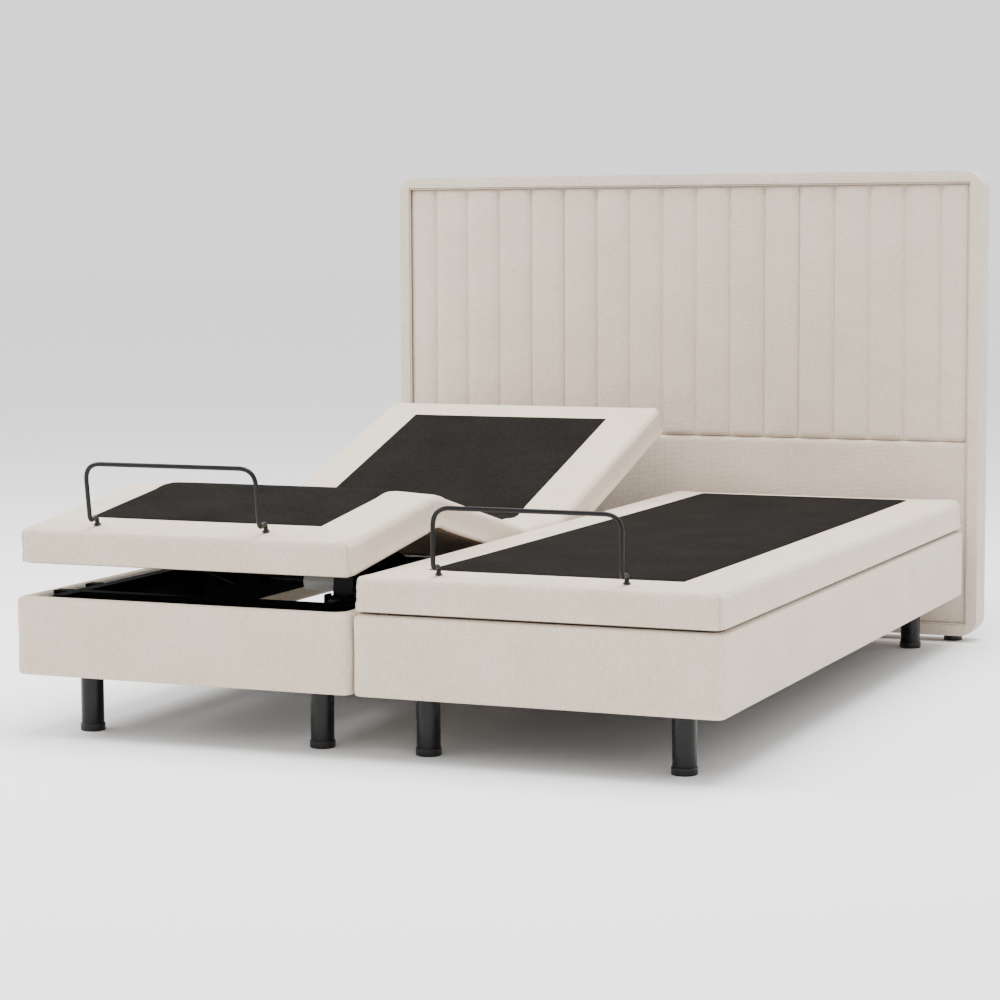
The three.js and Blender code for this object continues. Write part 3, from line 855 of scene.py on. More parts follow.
class DeckShape:
    """Raises points of a flat deck to where the unit's sections are at rest.

    The reaches are how far the cover bends on each side of a rod.
    """

    KNEE_REACH = 62 * MM
    HIP_REACH = 60 * MM
    BACK_REACH = 86 * MM

    def __init__(self, place: UnitPlace) -> None:
        """Keeps the unit's measures and makes its folds.

        Args:
            place: the unit's measures.
        """
        self.place = place
        self.knee = Fold(place.knee, self.KNEE_REACH)
        self.hip = Fold(place.hip, self.HIP_REACH)
        self.back = Fold(place.back, self.BACK_REACH)

    def raise_points(self, flat: np.ndarray) -> np.ndarray:
        """Moves flat points to the rest pose.

        Args:
            flat: the points, one a row.

        Returns:
            Where they are at rest.
        """
        place, y = self.place, flat[:, 1]
        points = turn_about(
            flat, place.knee, place.axis, place.raised_calf * (1 - self.knee.weight(y))
        )
        points = turn_about(
            points, place.hip, place.axis, -place.raised_thigh * (1 - self.hip.weight(y))
        )
        return turn_about(points, place.back, place.axis, place.raised_back * self.back.weight(y))

    def spot(self, x: float, y: float, z: float) -> Vector:
        """Where one point of the flat deck is at rest."""
        return Vector(self.raise_points(np.array([[x, y, z]]))[0])

    def bend(self, obj: bpy.types.Object, fold: Fold, low: Section, high: Section) -> None:
        """Works out the fold's two ends and the bodies on each side of it, none of which it uses, and bakes the
        piece's transform into its mesh.

        Args:
            obj: the piece.
            fold: the fold.
            low: the section on its foot side.
            high: the section on its head side.
        """
        place = self.place
        start = self.spot(place.centre, fold.place - fold.reach, place.axis)
        end = self.spot(place.centre, fold.place + fold.reach, place.axis)
        place.body(low)
        place.body(high)
        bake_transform(obj)


# ---- the deck -------------------------------------------------------------------------------------


@dataclass(frozen=True)
class DeckPart:
    """One stretch of a deck cover, which bends across one fold."""

    name: str
    low: Section
    high: Section
    replaced: tuple[str, ...]


DECK_PARTS = (
    DeckPart("calf", Section.CALF, Section.THIGH, ("calf_pad", "thigh_pad")),
    DeckPart("hip", Section.THIGH, Section.SEAT, ("seat_pad",)),
    DeckPart("back", Section.SEAT, Section.BACK, ("back_pad",)),
)


@dataclass
class Deck:
    """The padded deck of one unit: a light border and, sewn into it, a panel of dark platform cloth."""

    place: UnitPlace
    finishes: Finishes
    ease: float = 2.5 * MM
    corner: float = 14 * MM
    edge: float = 11 * MM
    skirt: float = 15 * MM
    recess: float = 30 * MM
    border_side: float = 122 * MM
    border_foot: float = 120 * MM
    border_head: float = 119 * MM
    panel_step: float = 10 * MM
    panel_thickness: float = 1.2 * MM
    panel_swell: float = 1.3 * MM
    panel_roll: float = 14 * MM
    seam_depth: float = 1.6 * MM
    seam_width: float = 6 * MM
    gather_reach: float = 46 * MM
    gather_pitch: float = 17 * MM
    crease_depth: float = 1.1 * MM
    crease_reach: float = 58 * MM
    padding: Padding = field(default_factory=lambda: Padding(10 * MM, 4.0, 4.5 * MM))

    def blank(self) -> bpy.types.Object:
        """Models the flat cover, round-edged and hollow underneath for its boards.

        Returns:
            The filled cover, flat.
        """
        place, ease = self.place, self.ease
        low = (place.centre - place.half + ease, place.foot + ease, place.deck_low - 0.4 * MM)
        high = (place.centre + place.half - ease, place.head - ease, place.deck_high - ease)
        cover = box_primitive("deck_blank", low, high)
        select_edges(cover, lambda a, b: abs(a.z - b.z) > 0.05)
        bpy.ops.mesh.bevel(offset=self.corner, segments=5, affect="EDGES")
        leave_edit()
        top = high[2]
        select_edges(cover, lambda a, b: min(a.z, b.z) > top - MM)
        bpy.ops.mesh.bevel(offset=self.edge, segments=4, affect="EDGES")
        leave_edit()
        select_faces(cover, lambda face: face.normal.z < -0.9)
        bpy.ops.mesh.inset(thickness=self.skirt - ease)
        bpy.ops.mesh.extrude_region_move(TRANSFORM_OT_translate={"value": (0, 0, self.recess)})
        leave_edit()
        self.padding.remesh(cover)
        self.padding.fill(cover, self._held)
        self._sew(cover)
        return cover

    def _held(self, points: np.ndarray) -> np.ndarray:
        """Gives how the cover is held: stapled under the boards, and looser towards its top.

        Args:
            points: the vertices.

        Returns:
            How firmly each is held, from 0 to 1.
        """
        place = self.place
        rise = (points[:, 2] - place.deck_low) / (place.deck_high - place.deck_low)
        side = np.abs(points[:, 0] - place.centre) < place.half - self.skirt
        inside = side & (points[:, 1] > place.foot + self.skirt)
        inside &= points[:, 1] < place.head - self.skirt
        hollow = inside & (rise < 0.55)
        held = np.clip(1 - rise / 0.35, 0, 1)
        return np.where(hollow, 1.0, held)

    def _panel_edges(self) -> tuple[float, float, float, float]:
        """Works out the dark panel's outline.

        Returns:
            Its lowest x, highest x, lowest y and highest y.
        """
        place = self.place
        return (
            place.centre - place.half + self.border_side,
            place.centre + place.half - self.border_side,
            place.foot + self.border_foot,
            place.head - self.border_head,
        )

    def _sew(self, cover: bpy.types.Object) -> None:
        """Draws the cover in along the panel's seam and gathers it a little at its corners.

        Args:
            cover: the filled cover, flat.
        """
        place = self.place
        points = coordinates(cover)
        x0, x1, y0, y1 = self._panel_edges()
        x, y, z = points.T
        out = np.maximum.reduce([x0 - x, x - x1, y0 - y, y - y1])
        rise = np.clip((z - place.deck_high + 12 * MM) / (8 * MM), 0, 1)
        points[:, 2] -= self.seam_depth * np.exp(-((out / self.seam_width) ** 2)) * rise
        corner_x = place.half - np.abs(x - place.centre)
        for end in (place.foot, place.head):
            near = np.hypot(corner_x, y - end)
            pucker = np.exp(-((near / self.gather_reach) ** 2))
            wave = np.sin((z - place.deck_low) * math.tau / self.gather_pitch + x * 60)
            outward = np.sign(x - place.centre)
            points[:, 0] += outward * wave * pucker * 0.7 * MM
            points[:, 1] += math.copysign(1, end) * wave * pucker * 0.5 * MM
        set_coordinates(cover, points)

    def dark_panel(self, cover: bpy.types.Object) -> bpy.types.Object:
        """Lays the dark cloth on the flat cover.

        Args:
            cover: the filled cover that it is sewn to.

        Returns:
            The flat panel.
        """
        x0, x1, y0, y1 = self._panel_edges()
        bpy.ops.object.select_all(action="DESELECT")
        bpy.ops.mesh.primitive_grid_add(
            x_subdivisions=round((x1 - x0) / self.panel_step),
            y_subdivisions=round((y1 - y0) / self.panel_step),
            size=1,
            location=((x0 + x1) / 2, (y0 + y1) / 2, self.place.deck_high + 20 * MM),
        )
        panel = bpy.context.active_object
        panel.scale = (x1 - x0, y1 - y0, 1)
        settle(panel)
        apply_modifier(
            panel,
            "SHRINKWRAP",
            target=cover,
            wrap_method="PROJECT",
            use_project_z=True,
            use_negative_direction=True,
            use_positive_direction=False,
            offset=self.panel_thickness * 0.9,
        )
        points = coordinates(panel)
        x, y, _ = points.T
        inward = np.minimum.reduce([x - x0, x1 - x, y - y0, y1 - y])
        points[:, 2] += self.panel_swell * smooth(inward / self.panel_roll)
        set_coordinates(panel, points)
        apply_modifier(panel, "SOLIDIFY", thickness=self.panel_thickness, offset=-1)
        return panel

    def cut(
        self, whole: bpy.types.Object, name: str, low: float | None, high: float | None
    ) -> bpy.types.Object:
        """Cuts one closed stretch out of a flat piece.

        Args:
            whole: the piece.
            name: the stretch's name.
            low: where it starts along Y, or None at the piece's own end.
            high: where it stops, or None at the piece's own end.

        Returns:
            The stretch.
        """
        part = copy_of(whole, name)
        for place, keep in ((low, 1), (high, -1)):
            if place is None:
                continue
            only(part)
            bpy.ops.object.mode_set(mode="EDIT")
            bpy.ops.mesh.select_mode(type="VERT")
            bpy.ops.mesh.select_all(action="SELECT")
            bpy.ops.mesh.bisect(
                plane_co=(0, place, 0), plane_no=(0, -keep, 0), use_fill=True, clear_outer=True
            )
            leave_edit()
        return part

    def build(self, cover: bpy.types.Object, panel: bpy.types.Object) -> None:
        """Makes this unit's cover and panel out of the flat ones.

        Args:
            cover: the unit's flat cover.
            panel: its flat panel.
        """
        place = self.place
        shape = DeckShape(place)
        splits = (None, (place.knee + place.hip) / 2, (place.hip + place.back) / 2, None)
        folds = (shape.knee, shape.hip, shape.back)
        kinds = (
            (cover, "cover", self.finishes.upholstery, "upholstery_fabric"),
            (panel, "platform_cloth", self.finishes.platform, "platform_fabric"),
        )
        side = place.side.value
        for whole, kind, material, slot in kinds:
            for part, fold, low, high in zip(DECK_PARTS, folds, splits, splits[1:]):
                piece = self.cut(whole, f"{side}_{part.name}_{kind}", low, high)
                flat = coordinates(piece)
                box_uv(piece, flat)
                set_coordinates(piece, shape.raise_points(flat))
                if kind == "cover" and part.name == "calf":
                    self._crease(piece, flat)
                dress(piece, material)
                shade(piece, 50)
                shape.bend(piece, fold, part.low, part.high)
                if kind == "cover":
                    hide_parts(*(f"{side}_{name}" for name in part.replaced))
                log.info("made %s", piece.name)

    def corner_seams(self, cover: bpy.types.Object) -> None:
        """Sews a raised seam up each foot corner of the deck.

        Args:
            cover: the flat cover that the seams lie on.
        """
        place, shape = self.place, DeckShape(self.place)
        reach = self.ease + self.corner * (1 - math.sqrt(0.5))
        for sign, word in ((-1, "left"), (1, "right")):
            x = place.centre + sign * (place.half - reach + 0.6 * MM)
            y = place.foot + reach - 0.6 * MM
            heights = np.linspace(place.deck_low + 3 * MM, place.deck_high - self.edge, 28)
            found = []
            for z in heights:
                out = Vector((sign, -1, 0)).normalized()
                hit, spot, _, _ = cover.ray_cast(Vector((x, y, z)) + out * 0.05, -out)
                found.append(tuple(spot + out * 0.3 * MM) if hit else (x, y, z))
            route = shape.raise_points(np.array(found))
            seam = tube(f"{place.side.value}_{word}_corner_seam", route, 1.5 * MM)
            dress(seam, self.finishes.thread)
            shade(seam)
            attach(seam, place.body(Section.CALF))
            log.info("made %s", seam.name)

    def _crease(self, piece: bpy.types.Object, flat: np.ndarray) -> None:
        """Gathers the cover into small creases round the knee's sides, where it bends most.

        Args:
            piece: the raised cover.
            flat: where its vertices lie while it is flat.
        """
        place = self.place
        if place.raised_calf == 0:
            return
        points = coordinates(piece)
        x, y, z = flat.T
        along = (y - place.knee) / self.crease_reach
        sides = smooth((np.abs(x - place.centre) - place.half + 40 * MM) / (30 * MM))
        fan = np.sin(np.arctan2(y - place.knee, z - place.deck_low + 40 * MM) * 26)
        depth = self.crease_depth * np.exp(-(along**2)) * sides * fan
        points[:, 0] += np.sign(x - place.centre) * depth
        set_coordinates(piece, points)


# ---- the base -------------------------------------------------------------------------------------


@dataclass
class Base:
    """The upholstered surround of one unit, its legs and the trim inside it."""

    place: UnitPlace
    finishes: Finishes
    wall: float = 34.4 * MM
    corner: float = 7 * MM
    ease: float = 1.5 * MM
    wrap: float = 33 * MM
    lining_depth: float = 28 * MM
    tight_edge: float = 16 * MM
    stapled_depth: float = 12 * MM
    strip_height: float = 6.5 * MM
    strip_drop: float = 5 * MM
    strip_thickness: float = 2 * MM
    strip_end: float = 60 * MM
    cap_height: float = 17 * MM
    cap_lip: float = 2 * MM
    padding: Padding = field(default_factory=lambda: Padding(9 * MM, 3.0, 2.5 * MM))

    def blank(self) -> bpy.types.Object:
        """Models the surround as a ring with soft corners, and fills it.

        Returns:
            The filled surround.
        """
        place, ease = self.place, self.ease
        low = (place.centre - place.half + ease, place.foot + ease, place.base_low)
        high = (place.centre + place.half - ease, place.head - ease, place.base_high + 1.2 * MM)
        ring = box_primitive("base_blank", low, high)
        select_faces(ring, lambda face: abs(face.normal.z) > 0.9)
        bpy.ops.mesh.inset(thickness=self.wall - ease)
        bpy.ops.mesh.bridge_edge_loops()
        leave_edit()
        edge_x, edge_y = place.half - ease - MM, (place.head - place.foot) / 2 - ease - MM
        middle = (place.head + place.foot) / 2

        def outer(point: Vector) -> bool:
            """Whether a point is on one of the surround's outer corners."""
            return abs(point.x - place.centre) > edge_x and abs(point.y - middle) > edge_y

        select_edges(ring, lambda a, b: outer(a) and outer(b) and abs(a.z - b.z) > 0.05)
        bpy.ops.mesh.bevel(offset=self.corner, segments=5, affect="EDGES")
        leave_edit()
        self.padding.remesh(ring)
        self.padding.fill(ring, self._held)
        return ring

    def _held(self, points: np.ndarray) -> np.ndarray:
        """Gives how the cloth is held: stapled on its inner side, and tight along its edges.

        Args:
            points: the vertices.

        Returns:
            How firmly each is held, from 0 to 1.
        """
        place = self.place
        x, y, z = points.T
        depth = np.minimum(place.half - np.abs(x - place.centre), y - place.foot)
        depth = np.minimum(depth, place.head - y)
        near_edge = np.minimum(z - place.base_low, place.base_high - z)
        held = np.clip(1 - near_edge / self.tight_edge, 0, 1)
        return np.where(depth > self.stapled_depth, 1.0, held)

    def build(self, ring: bpy.types.Object) -> None:
        """Dresses the surround and adds its legs and strips.

        Args:
            ring: the filled surround of this unit.
        """
        place, finishes = self.place, self.finishes
        side = place.side.value
        points = coordinates(ring)
        box_uv(ring, points)
        dress(ring, finishes.upholstery, finishes.lining)
        self._line(ring)
        shade(ring, 50)
        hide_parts(f"{side}_base_box")
        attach(ring, "base")
        log.info("made %s", ring.name)
        for node in ("front_left_leg", "front_right_leg", "rear_left_leg", "rear_right_leg"):
            self._leg(f"{side}_{node}")
        self._strips()

    def _line(self, ring: bpy.types.Object) -> None:
        """Gives the black lining to the inner faces between the two wraps of the cloth.

        Args:
            ring: the surround.
        """
        place = self.place
        low = place.base_low + self.wrap
        high = place.base_high - self.strip_drop
        for face in ring.data.polygons:
            x, y, z = face.center
            depth = min(place.half - abs(x - place.centre), y - place.foot, place.head - y)
            face.material_index = 1 if depth > self.lining_depth and low < z < high else 0

    def _leg(self, node: str) -> None:
        """Turns one leg: a tube with a cap pressed on its lower end.

        Args:
            node: the leg's CAD node.
        """
        low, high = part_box(node)
        x, y = (low.x + high.x) / 2, (low.y + high.y) / 2
        cap_radius = (high.x - low.x) / 2
        radius = cap_radius - self.cap_lip
        cap_top = low.z + self.cap_height
        foot, seat, head = (x, y, low.z), (x, y, cap_top - 4 * MM), (x, y, high.z)
        pipe = cylinder_primitive(node + "_tube", radius, seat, head, 64)
        cap = cylinder_primitive(node + "_cap", cap_radius, foot, (x, y, cap_top), 64)
        apply_modifier(cap, "BEVEL", width=2.2 * MM, segments=3, limit_method="ANGLE")
        select_faces(pipe, lambda face: abs(face.normal.z) > 0.9)
        bpy.ops.mesh.inset(thickness=3 * MM)
        leave_edit()
        for piece, material, slot in (
            (pipe, self.finishes.steel, "black_steel"),
            (cap, self.finishes.nylon, "black_plastic"),
        ):
            dress(piece, material)
            shade(piece)
            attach(piece, "base")
        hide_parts(node)
        log.info("made %s", node)

    def _strips(self) -> None:
        """Runs a white clamping strip along the inside of each long rail, over the cloth's edge."""
        place = self.place
        top = place.base_high - self.strip_drop
        for sign, word in ((-1, "outer"), (1, "inner")):
            face = place.centre + sign * (place.half - self.wall - 0.6 * MM)
            front = face - sign * self.strip_thickness
            low = (min(face, front), place.foot + self.strip_end, top - self.strip_height)
            high = (max(face, front), place.head - self.strip_end, top)
            strip = box_primitive(f"{place.side.value}_{word}_edge_strip", low, high)
            apply_modifier(strip, "BEVEL", width=0.6 * MM, segments=2)
            dress(strip, self.finishes.strip)
            shade(strip)
            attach(strip, "base")
            log.info("made %s", strip.name)


# ---- the mattress retainer ------------------------------------------------------------------------


@dataclass
class Retainer:
    """The bent rod that keeps a mattress from sliding off the foot end."""

    place: UnitPlace
    finishes: Finishes
    radius: float = 5 * MM
    offset: float = -24 * MM
    half: float = 203.5 * MM
    setback: float = 30 * MM
    foot: float = 28 * MM
    height: float = 142 * MM
    bend: float = 38 * MM
    rise: float = 14 * MM
    plate_radius: float = 8 * MM
    plate_thickness: float = 2 * MM
    plate_lip: float = 2.4 * MM
    plate_boss: float = 1.6 * MM

    def route(self) -> list[tuple[float, float, float]]:
        """Draws the rod's centre line on the flat deck.

        Returns:
            Its points, from one peg to the other.
        """
        place = self.place
        seat = place.deck_high - 2 * MM
        top, low = seat + self.height, seat + self.rise
        y = place.foot + self.setback
        peg = y + self.foot

        def arc(a: tuple, b: tuple, c: tuple, count: int = 9) -> list[tuple]:
            """Points along the curve from a to c that leaves and arrives by way of b."""
            spots = []
            for i in range(count):
                t = i / (count - 1)
                weights = ((1 - t) ** 2, 2 * t * (1 - t), t * t)
                spots.append(tuple(sum(w * p[k] for w, p in zip(weights, (a, b, c))) for k in (0, 1)))
            return spots

        side = [(peg, seat + 2.8 * MM)]
        side += arc((peg, low - 2 * MM), (peg, low + 6 * MM), (peg - 9 * MM, low + 6 * MM))
        side += arc((peg - 9 * MM, low + 6 * MM), (y, low - 2 * MM), (y, low + 16 * MM))[1:]
        left = place.centre + self.offset - self.half
        right = place.centre + self.offset + self.half
        rising = [(left, a, b) for a, b in side]
        corner = arc((left, top - self.bend), (left, top), (left + self.bend, top), 13)
        crossing = [(a, y, b) for a, b in corner]
        mirrored = [(left + right - a, b, c) for a, b, c in reversed(rising + crossing)]
        return rising + crossing + mirrored

    def build(self) -> None:
        """Sweeps the rod and adds the plates that its pegs go through."""
        place, side = self.place, self.place.side.value
        shape = DeckShape(place)
        route = shape.raise_points(np.array(self.route()))
        rod = tube(f"{side}_retainer_rod", route, self.radius)
        self._finish(rod, self.finishes.steel)
        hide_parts(f"{side}_retainer_bar")
        for end, word in ((route[0], "left"), (route[-1], "right")):
            self._plate(Vector(end), word)
        log.info("made %s", rod.name)

    def _plate(self, spot: Vector, word: str) -> None:
        """Adds the oval plate round a peg, with its middle raised.

        Args:
            spot: where the peg goes into the deck.
            word: which peg it is.
        """
        place = self.place
        tilt = place.raised_calf - place.raised_thigh if place.raised_calf else 0.0
        bpy.ops.object.select_all(action="DESELECT")
        bpy.ops.mesh.primitive_cylinder_add(
            vertices=40, radius=self.plate_radius, depth=self.plate_thickness
        )
        plate = bpy.context.active_object
        plate.name = plate.data.name = f"{place.side.value}_{word}_peg_plate"
        plate.scale = (1.0, 1.25, 1.0)
        settle(plate)
        select_faces(plate, lambda face: face.normal.z > 0.9)
        bpy.ops.mesh.inset(thickness=self.plate_lip)
        bpy.ops.mesh.extrude_region_move(TRANSFORM_OT_translate={"value": (0, 0, self.plate_boss)})
        leave_edit()
        apply_modifier(plate, "BEVEL", width=0.7 * MM, segments=2, limit_method="ANGLE")
        plate.rotation_euler = (tilt, 0, 0)
        plate.location = spot + Vector((0, 0, 0.4 * MM))
        settle(plate)
        self._finish(plate, self.finishes.nylon, "black_plastic")
        log.info("made %s", plate.name)

    def _finish(
        self, piece: bpy.types.Object, material: bpy.types.Material, slot: str = "black_steel"
    ) -> None:
        """Dresses a piece and makes it ride on the calf section.

        Args:
            piece: the piece.
            material: its finish.
            slot: not used.
        """
        dress(piece, material)
        shade(piece)
        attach(piece, self.place.body(Section.CALF))


# ---- the headboard --------------------------------------------------------------------------------


@dataclass
class Headboard:
    """The shared headboard: a padded rim, piping, upright channels and a plain panel below."""

    finishes: Finishes
    pitch: float = 96 * MM
    outermost: float = 720 * MM
    rim: float = 28 * MM
    corner: float = 46 * MM
    edge: float = 9 * MM
    crown: float = 12 * MM
    channel_inset: float = 4 * MM
    channel_end: float = 18 * MM
    channel_cells: tuple[int, int] = (480, 116)
    lower_crown: float = 6 * MM
    lower_end: float = 14 * MM
    lower_cells: tuple[int, int] = (240, 90)
    softness: float = 0.5 * MM
    piping: float = 2.2 * MM

    def build(self) -> None:
        """Makes the rim, the two pads, the piping and the feet."""
        self._rim()
        self._channels()
        self._lower()
        self._piping()
        self._feet()
        dress(frame["nodes"]["headboard_board"], self.finishes.lining)

    def _finish(self, piece: bpy.types.Object, *replaced: str, fill: float = 0.8) -> None:
        """Dresses an upholstered piece of the headboard.

        Args:
            piece: the piece.
            replaced: the CAD nodes that it stands for.
            fill: not used.
        """
        box_uv(piece, coordinates(piece))
        dress(piece, self.finishes.headboard)
        shade(piece, 50)
        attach(piece, "base")
        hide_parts(*replaced)
        log.info("made %s", piece.name)

    def _rim(self) -> None:
        """Wraps the rim: a ring with round outer corners and soft edges."""
        low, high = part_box("headboard_rim")
        rim = self.rim
        ring = box_primitive("headboard_rim_cover", low, high)
        select_faces(ring, lambda face: abs(face.normal.y) > 0.9)
        bpy.ops.mesh.inset(thickness=rim)
        bpy.ops.mesh.bridge_edge_loops()
        leave_edit()
        middle = (low.z + high.z) / 2
        reach = (high.z - low.z) / 2

        def corner(point: Vector) -> bool:
            """Whether a point is on one of the ring's outer corners."""
            return abs(point.x) > high.x - MM and abs(point.z - middle) > reach - MM

        select_edges(ring, lambda a, b: corner(a) and corner(b) and abs(a.y - b.y) > 0.05)
        bpy.ops.mesh.bevel(offset=self.corner, segments=10, affect="EDGES")
        leave_edit()

        def inner(point: Vector) -> bool:
            """Whether a point is on one of the ring's inner corners."""
            return abs(point.x) < high.x - rim + MM and abs(point.z - middle) < reach - rim + MM

        select_edges(ring, lambda a, b: inner(a) and inner(b) and abs(a.y - b.y) > 0.05)
        bpy.ops.mesh.bevel(offset=5 * MM, segments=4, affect="EDGES")
        leave_edit()
        sharp = math.radians(60)
        apply_modifier(
            ring, "BEVEL", width=self.edge, segments=5, limit_method="ANGLE", angle_limit=sharp
        )
        self._finish(ring, "headboard_rim", fill=0.7)

    def _grid(
        self,
        name: str,
        low: Vector,
        high: Vector,
        depth: Callable[[np.ndarray, np.ndarray], np.ndarray],
        steps: tuple[int, int],
    ) -> bpy.types.Object:
        """Makes a closed pad whose front stands proud by a depth.

        Args:
            name: its name.
            low: its lowest corner.
            high: its highest corner.
            depth: how far the front lies behind the box's front, for x and z.
            steps: how many cells it has along X and Z.

        Returns:
            The pad.
        """
        bpy.ops.object.select_all(action="DESELECT")
        bpy.ops.mesh.primitive_grid_add(x_subdivisions=steps[0], y_subdivisions=steps[1], size=1)
        pad = bpy.context.active_object
        pad.name = pad.data.name = name
        pad.rotation_euler = (math.radians(90), 0, 0)
        settle(pad)
        select_faces(pad, lambda face: True)
        back = high.y - low.y
        bpy.ops.mesh.extrude_region_move(TRANSFORM_OT_translate={"value": (0, back, 0)})
        leave_edit()
        whole = coordinates(pad)
        whole[:, 0] = low.x + (whole[:, 0] + 0.5) * (high.x - low.x)
        whole[:, 2] = low.z + (whole[:, 2] + 0.5) * (high.z - low.z)
        front = whole[:, 1] < back / 2
        whole[front, 1] = low.y + depth(whole[front, 0], whole[front, 2])
        whole[~front, 1] = high.y
        set_coordinates(pad, whole)
        only(pad)
        bpy.ops.object.mode_set(mode="EDIT")
        bpy.ops.mesh.select_all(action="SELECT")
        bpy.ops.mesh.normals_make_consistent(inside=False)
        leave_edit()
        return pad

    def _seams(self) -> np.ndarray:
        """Where the upright seams are along X."""
        count = round(2 * self.outermost / self.pitch)
        return np.linspace(-self.outermost, self.outermost, count + 1)

    def _channels(self) -> None:
        """Fills the upright channels, each one crowned between its two seams."""
        low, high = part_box("headboard_channel_pad")
        seams = self._seams()
        bounds = np.concatenate([[low.x], seams, [high.x]])

        def depth(x: np.ndarray, z: np.ndarray) -> np.ndarray:
            """How far the cloth lies behind the box's front."""
            index = np.clip(np.searchsorted(bounds, x, side="right") - 1, 0, len(bounds) - 2)
            left, right = bounds[index], bounds[index + 1]
            share = (x - left) / (right - left)
            arch = np.sqrt(np.clip(1 - np.abs(2 * share - 1) ** 3, 0, 1))
            ends = np.minimum(z - low.z, high.z - z)
            arch = arch * np.sqrt(np.clip(1 - (1 - np.clip(ends / self.channel_end, 0, 1)) ** 2, 0, 1))
            soft = np.sin(z * 19 + index * 2.3) * np.sin(z * 47 + index) * self.softness
            return self.channel_inset + self.crown * (1 - arch) + soft * arch

        pad = self._grid("headboard_channels", low, high, depth, self.channel_cells)
        self._finish(pad, "headboard_channel_pad")

    def _lower(self) -> None:
        """Covers the plain panel below the horizontal seam."""
        low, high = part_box("headboard_lower_pad")

        def depth(x: np.ndarray, z: np.ndarray) -> np.ndarray:
            """How far the cloth lies behind the box's front."""
            ends = np.minimum(np.minimum(x - low.x, high.x - x), np.minimum(z - low.z, high.z - z))
            arch = np.sqrt(np.clip(1 - (1 - np.clip(ends / self.lower_end, 0, 1)) ** 2, 0, 1))
            soft = np.sin(x * 9 + 1) * np.sin(z * 14) * self.softness
            return self.lower_crown * (1 - arch) + soft * arch

        pad = self._grid("headboard_lower_panel", low, high, depth, self.lower_cells)
        self._finish(pad, "headboard_lower_pad", fill=0.6)

    def _piping(self) -> None:
        """Runs a covered cord round the field, just inside the rim."""
        low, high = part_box("headboard_rim")
        inset = self.rim + self.piping
        x, radius = high.x - inset, 5 * MM
        z0, z1 = low.z + inset, high.z - inset
        y = low.y + 5 * MM
        spots = []
        for cx, cz, start in ((x, z1, 0.0), (-x, z1, 90.0), (-x, z0, 180.0), (x, z0, 270.0)):
            ox, oz = cx - math.copysign(radius, cx), cz - math.copysign(radius, cz - 0.6)
            for i in range(9):
                angle = math.radians(start + 90 * i / 8)
                spots.append((ox + radius * math.cos(angle), y, oz + radius * math.sin(angle)))
        cord = tube("headboard_piping", spots, self.piping, closed=True)
        box_uv(cord, coordinates(cord))
        dress(cord, self.finishes.headboard)
        shade(cord)
        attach(cord, "base")
        log.info("made %s", cord.name)

    def _feet(self) -> None:
        """Turns the two low feet."""
        for node in ("headboard_left_foot", "headboard_right_foot"):
            low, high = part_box(node)
            x, y = (low.x + high.x) / 2, (low.y + high.y) / 2
            radius = (high.x - low.x) / 2
            foot = cylinder_primitive(node + "_turned", radius, (x, y, low.z), (x, y, high.z), 56)
            apply_modifier(foot, "BEVEL", width=3 * MM, segments=4, limit_method="ANGLE")
            dress(foot, self.finishes.nylon)
            shade(foot)
            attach(foot, "base")
            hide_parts(node)
            log.info("made %s", foot.name)


# ---- the mechanism --------------------------------------------------------------------------------

# How far a motor's round can reaches in from its end of the drive.
MOTOR_CAN = 84 * MM


def dress_motor(obj: bpy.types.Object, finishes: Finishes) -> None:
    """Gives a motor's round can its pale shell and the rest of the drive black plastic.

    Args:
        obj: the motor's node.
        finishes: the finishes to choose from.
    """
    dress(obj, finishes.nylon, finishes.housing)
    low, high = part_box(obj.name)
    can_last = obj.name.endswith("_foot_motor")
    for face in obj.data.polygons:
        spot = obj.matrix_world @ face.center
        reach = high.x - spot.x if can_last else spot.x - low.x
        face.material_index = 1 if reach < MOTOR_CAN else 0
    log.info("dressed %s", obj.name)


def dress_mechanism(finishes: Finishes) -> None:
    """Gives every CAD node that stays its real finish.

    Args:
        finishes: the finishes to choose from.
    """
    looks = {
        "steel_frame": finishes.frame_steel,
        "support_post": finishes.frame_steel,
        "lift_tube": finishes.frame_steel,
        "strut": finishes.frame_steel,
        "control_box": finishes.nylon,
        "motor_rod": finishes.zinc,
        "hinge_rod": finishes.zinc,
        # The boards take the brown-grey cloth, whose colour is painted shade of the pale cover cloth.
        "board": finishes.underlay,
    }
    for name, obj in frame["nodes"].items():
        if name.startswith("headboard"):
            continue
        if name.endswith("_motor"):
            dress_motor(obj, finishes)
            continue
        for ending, material in looks.items():
            if name.endswith(ending):
                dress(obj, material)
                break


# ---- the studio -----------------------------------------------------------------------------------


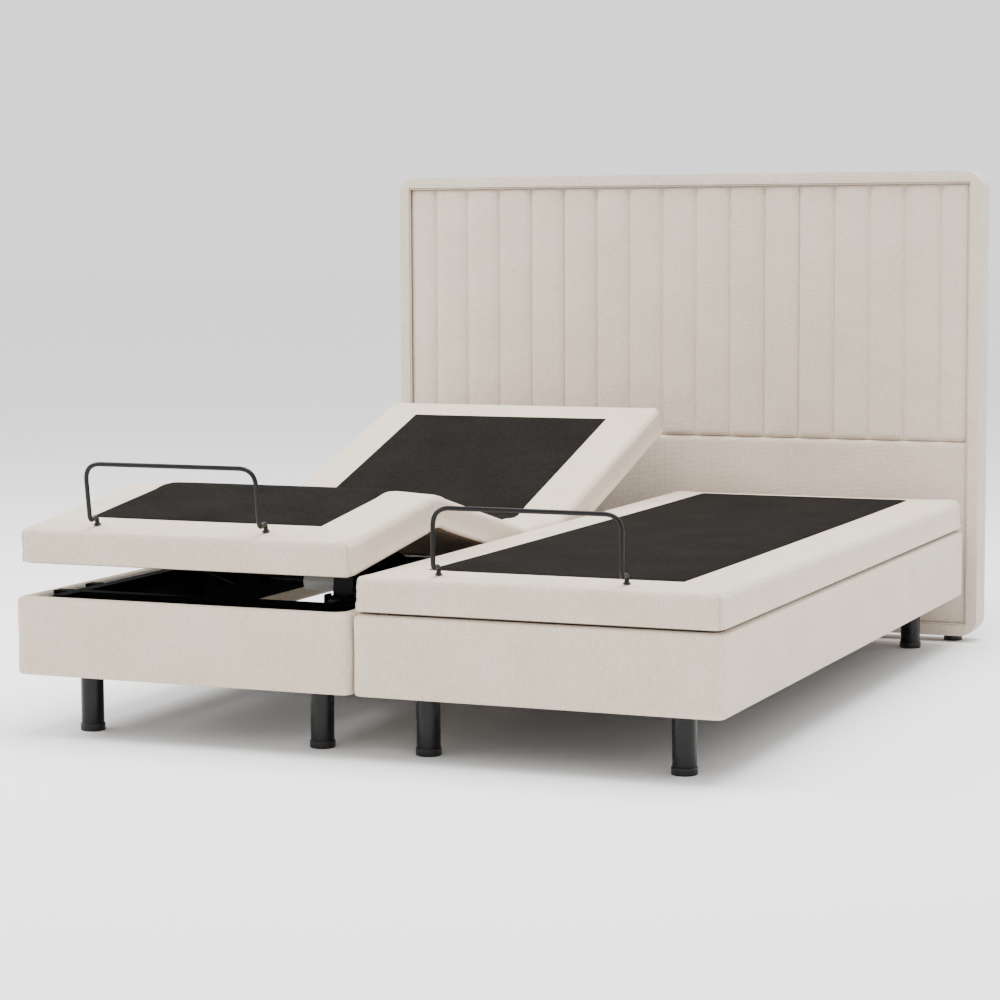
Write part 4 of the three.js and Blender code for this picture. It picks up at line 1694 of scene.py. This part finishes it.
@dataclass(frozen=True)
class Studio:
    """A pale floor, a pale sky and two soft lights, with the camera; its angles are in degrees."""

    eye: tuple[float, float, float] = (2.4322, -6.058, 1.0762)
    yaw: float = 22.8
    pitch: float = 5.56
    roll: float = -0.28
    lens: float = 98.53

    def build(self) -> None:
        """Sets up everything round the object."""
        self._camera()
        self._floor()
        self._world()
        self._light("key", (-4.4, -1.6, 4.2), 2.2, 260, (0, 0, 0.4))
        self._light("top", (0.6, 0.2, 5.2), 4.0, 520, (0, 0, 0.2))

    def _camera(self) -> None:
        """Places the camera at its angle."""
        yaw, pitch, roll = (math.radians(v) for v in (self.yaw, self.pitch, self.roll))
        level = math.cos(pitch)
        ahead = Vector((-math.sin(yaw) * level, math.cos(yaw) * level, -math.sin(pitch)))
        right = Vector((math.cos(yaw), math.sin(yaw), 0))
        up = right.cross(ahead)
        across = right * math.cos(roll) + up * math.sin(roll)
        upright = -right * math.sin(roll) + up * math.cos(roll)
        data = bpy.data.cameras.new("camera")
        data.lens = self.lens
        data.sensor_width = 36
        camera = bpy.data.objects.new("camera", data)
        turn = Matrix((across, upright, -ahead)).transposed().to_4x4()
        camera.matrix_world = Matrix.Translation(self.eye) @ turn
        bpy.context.scene.collection.objects.link(camera)
        bpy.context.scene.camera = camera

    def _floor(self) -> None:
        """Lays a matt pale floor."""
        bpy.ops.object.select_all(action="DESELECT")
        bpy.ops.mesh.primitive_plane_add(size=120, location=(0, 0, 0))
        floor = bpy.context.active_object
        floor.name = floor.data.name = "studio_floor"
        graph = Graph("painted_studio_floor")
        graph.set(Base_Color=linear("#fbfbfb"), Roughness=0.9)
        dress(floor, graph.material)

    def _world(self) -> None:
        """Lights everything softly from all round."""
        world = bpy.data.worlds.new("studio")
        world.use_nodes = True
        sky = world.node_tree.nodes["Background"]
        sky.inputs["Color"].default_value = (1, 1, 1, 1)
        sky.inputs["Strength"].default_value = 1.5
        bpy.context.scene.world = world

    def _light(
        self,
        name: str,
        spot: tuple[float, float, float],
        size: float,
        power: float,
        target: tuple[float, float, float],
    ) -> None:
        """Adds a square soft light that faces a target.

        Args:
            name: its name.
            spot: where it is.
            size: its side.
            power: its power in watts.
            target: what it faces.
        """
        data = bpy.data.lights.new(name, "AREA")
        data.size = size
        data.energy = power
        light = bpy.data.objects.new(name, data)
        light.location = spot
        light.rotation_euler = (Vector(target) - Vector(spot)).to_track_quat("-Z", "Y").to_euler()
        bpy.context.scene.collection.objects.link(light)


def main() -> None:
    """Builds the whole bed's looks."""
    logging.basicConfig(level=logging.INFO, format="%(name)s: %(message)s")
    Studio().build()
    finishes = Finishes.make()
    dress_mechanism(finishes)
    places = {side: UnitPlace.read(side) for side in Side}
    pattern = Deck(places[Side.RIGHT], finishes)
    cover = pattern.blank()
    panel = pattern.dark_panel(cover)
    surround = Base(places[Side.RIGHT], finishes).blank()
    for side, place in places.items():
        shift = Vector((place.centre - places[Side.RIGHT].centre, 0, 0))
        flat_cover, flat_panel = copy_of(cover, "flat_cover"), copy_of(panel, "flat_panel")
        ring = copy_of(surround, f"{side.value}_base_cover")
        for piece in (flat_cover, flat_panel, ring):
            piece.data.transform(Matrix.Translation(shift))
        deck = Deck(place, finishes)
        deck.build(flat_cover, flat_panel)
        deck.corner_seams(flat_cover)
        Base(place, finishes).build(ring)
        Retainer(place, finishes).build()
        for spare in (flat_cover, flat_panel):
            bpy.data.objects.remove(spare)
    for pattern_piece in (cover, panel, surround):
        bpy.data.objects.remove(pattern_piece)
    Headboard(finishes).build()


if __name__ == "__main__":
    main()
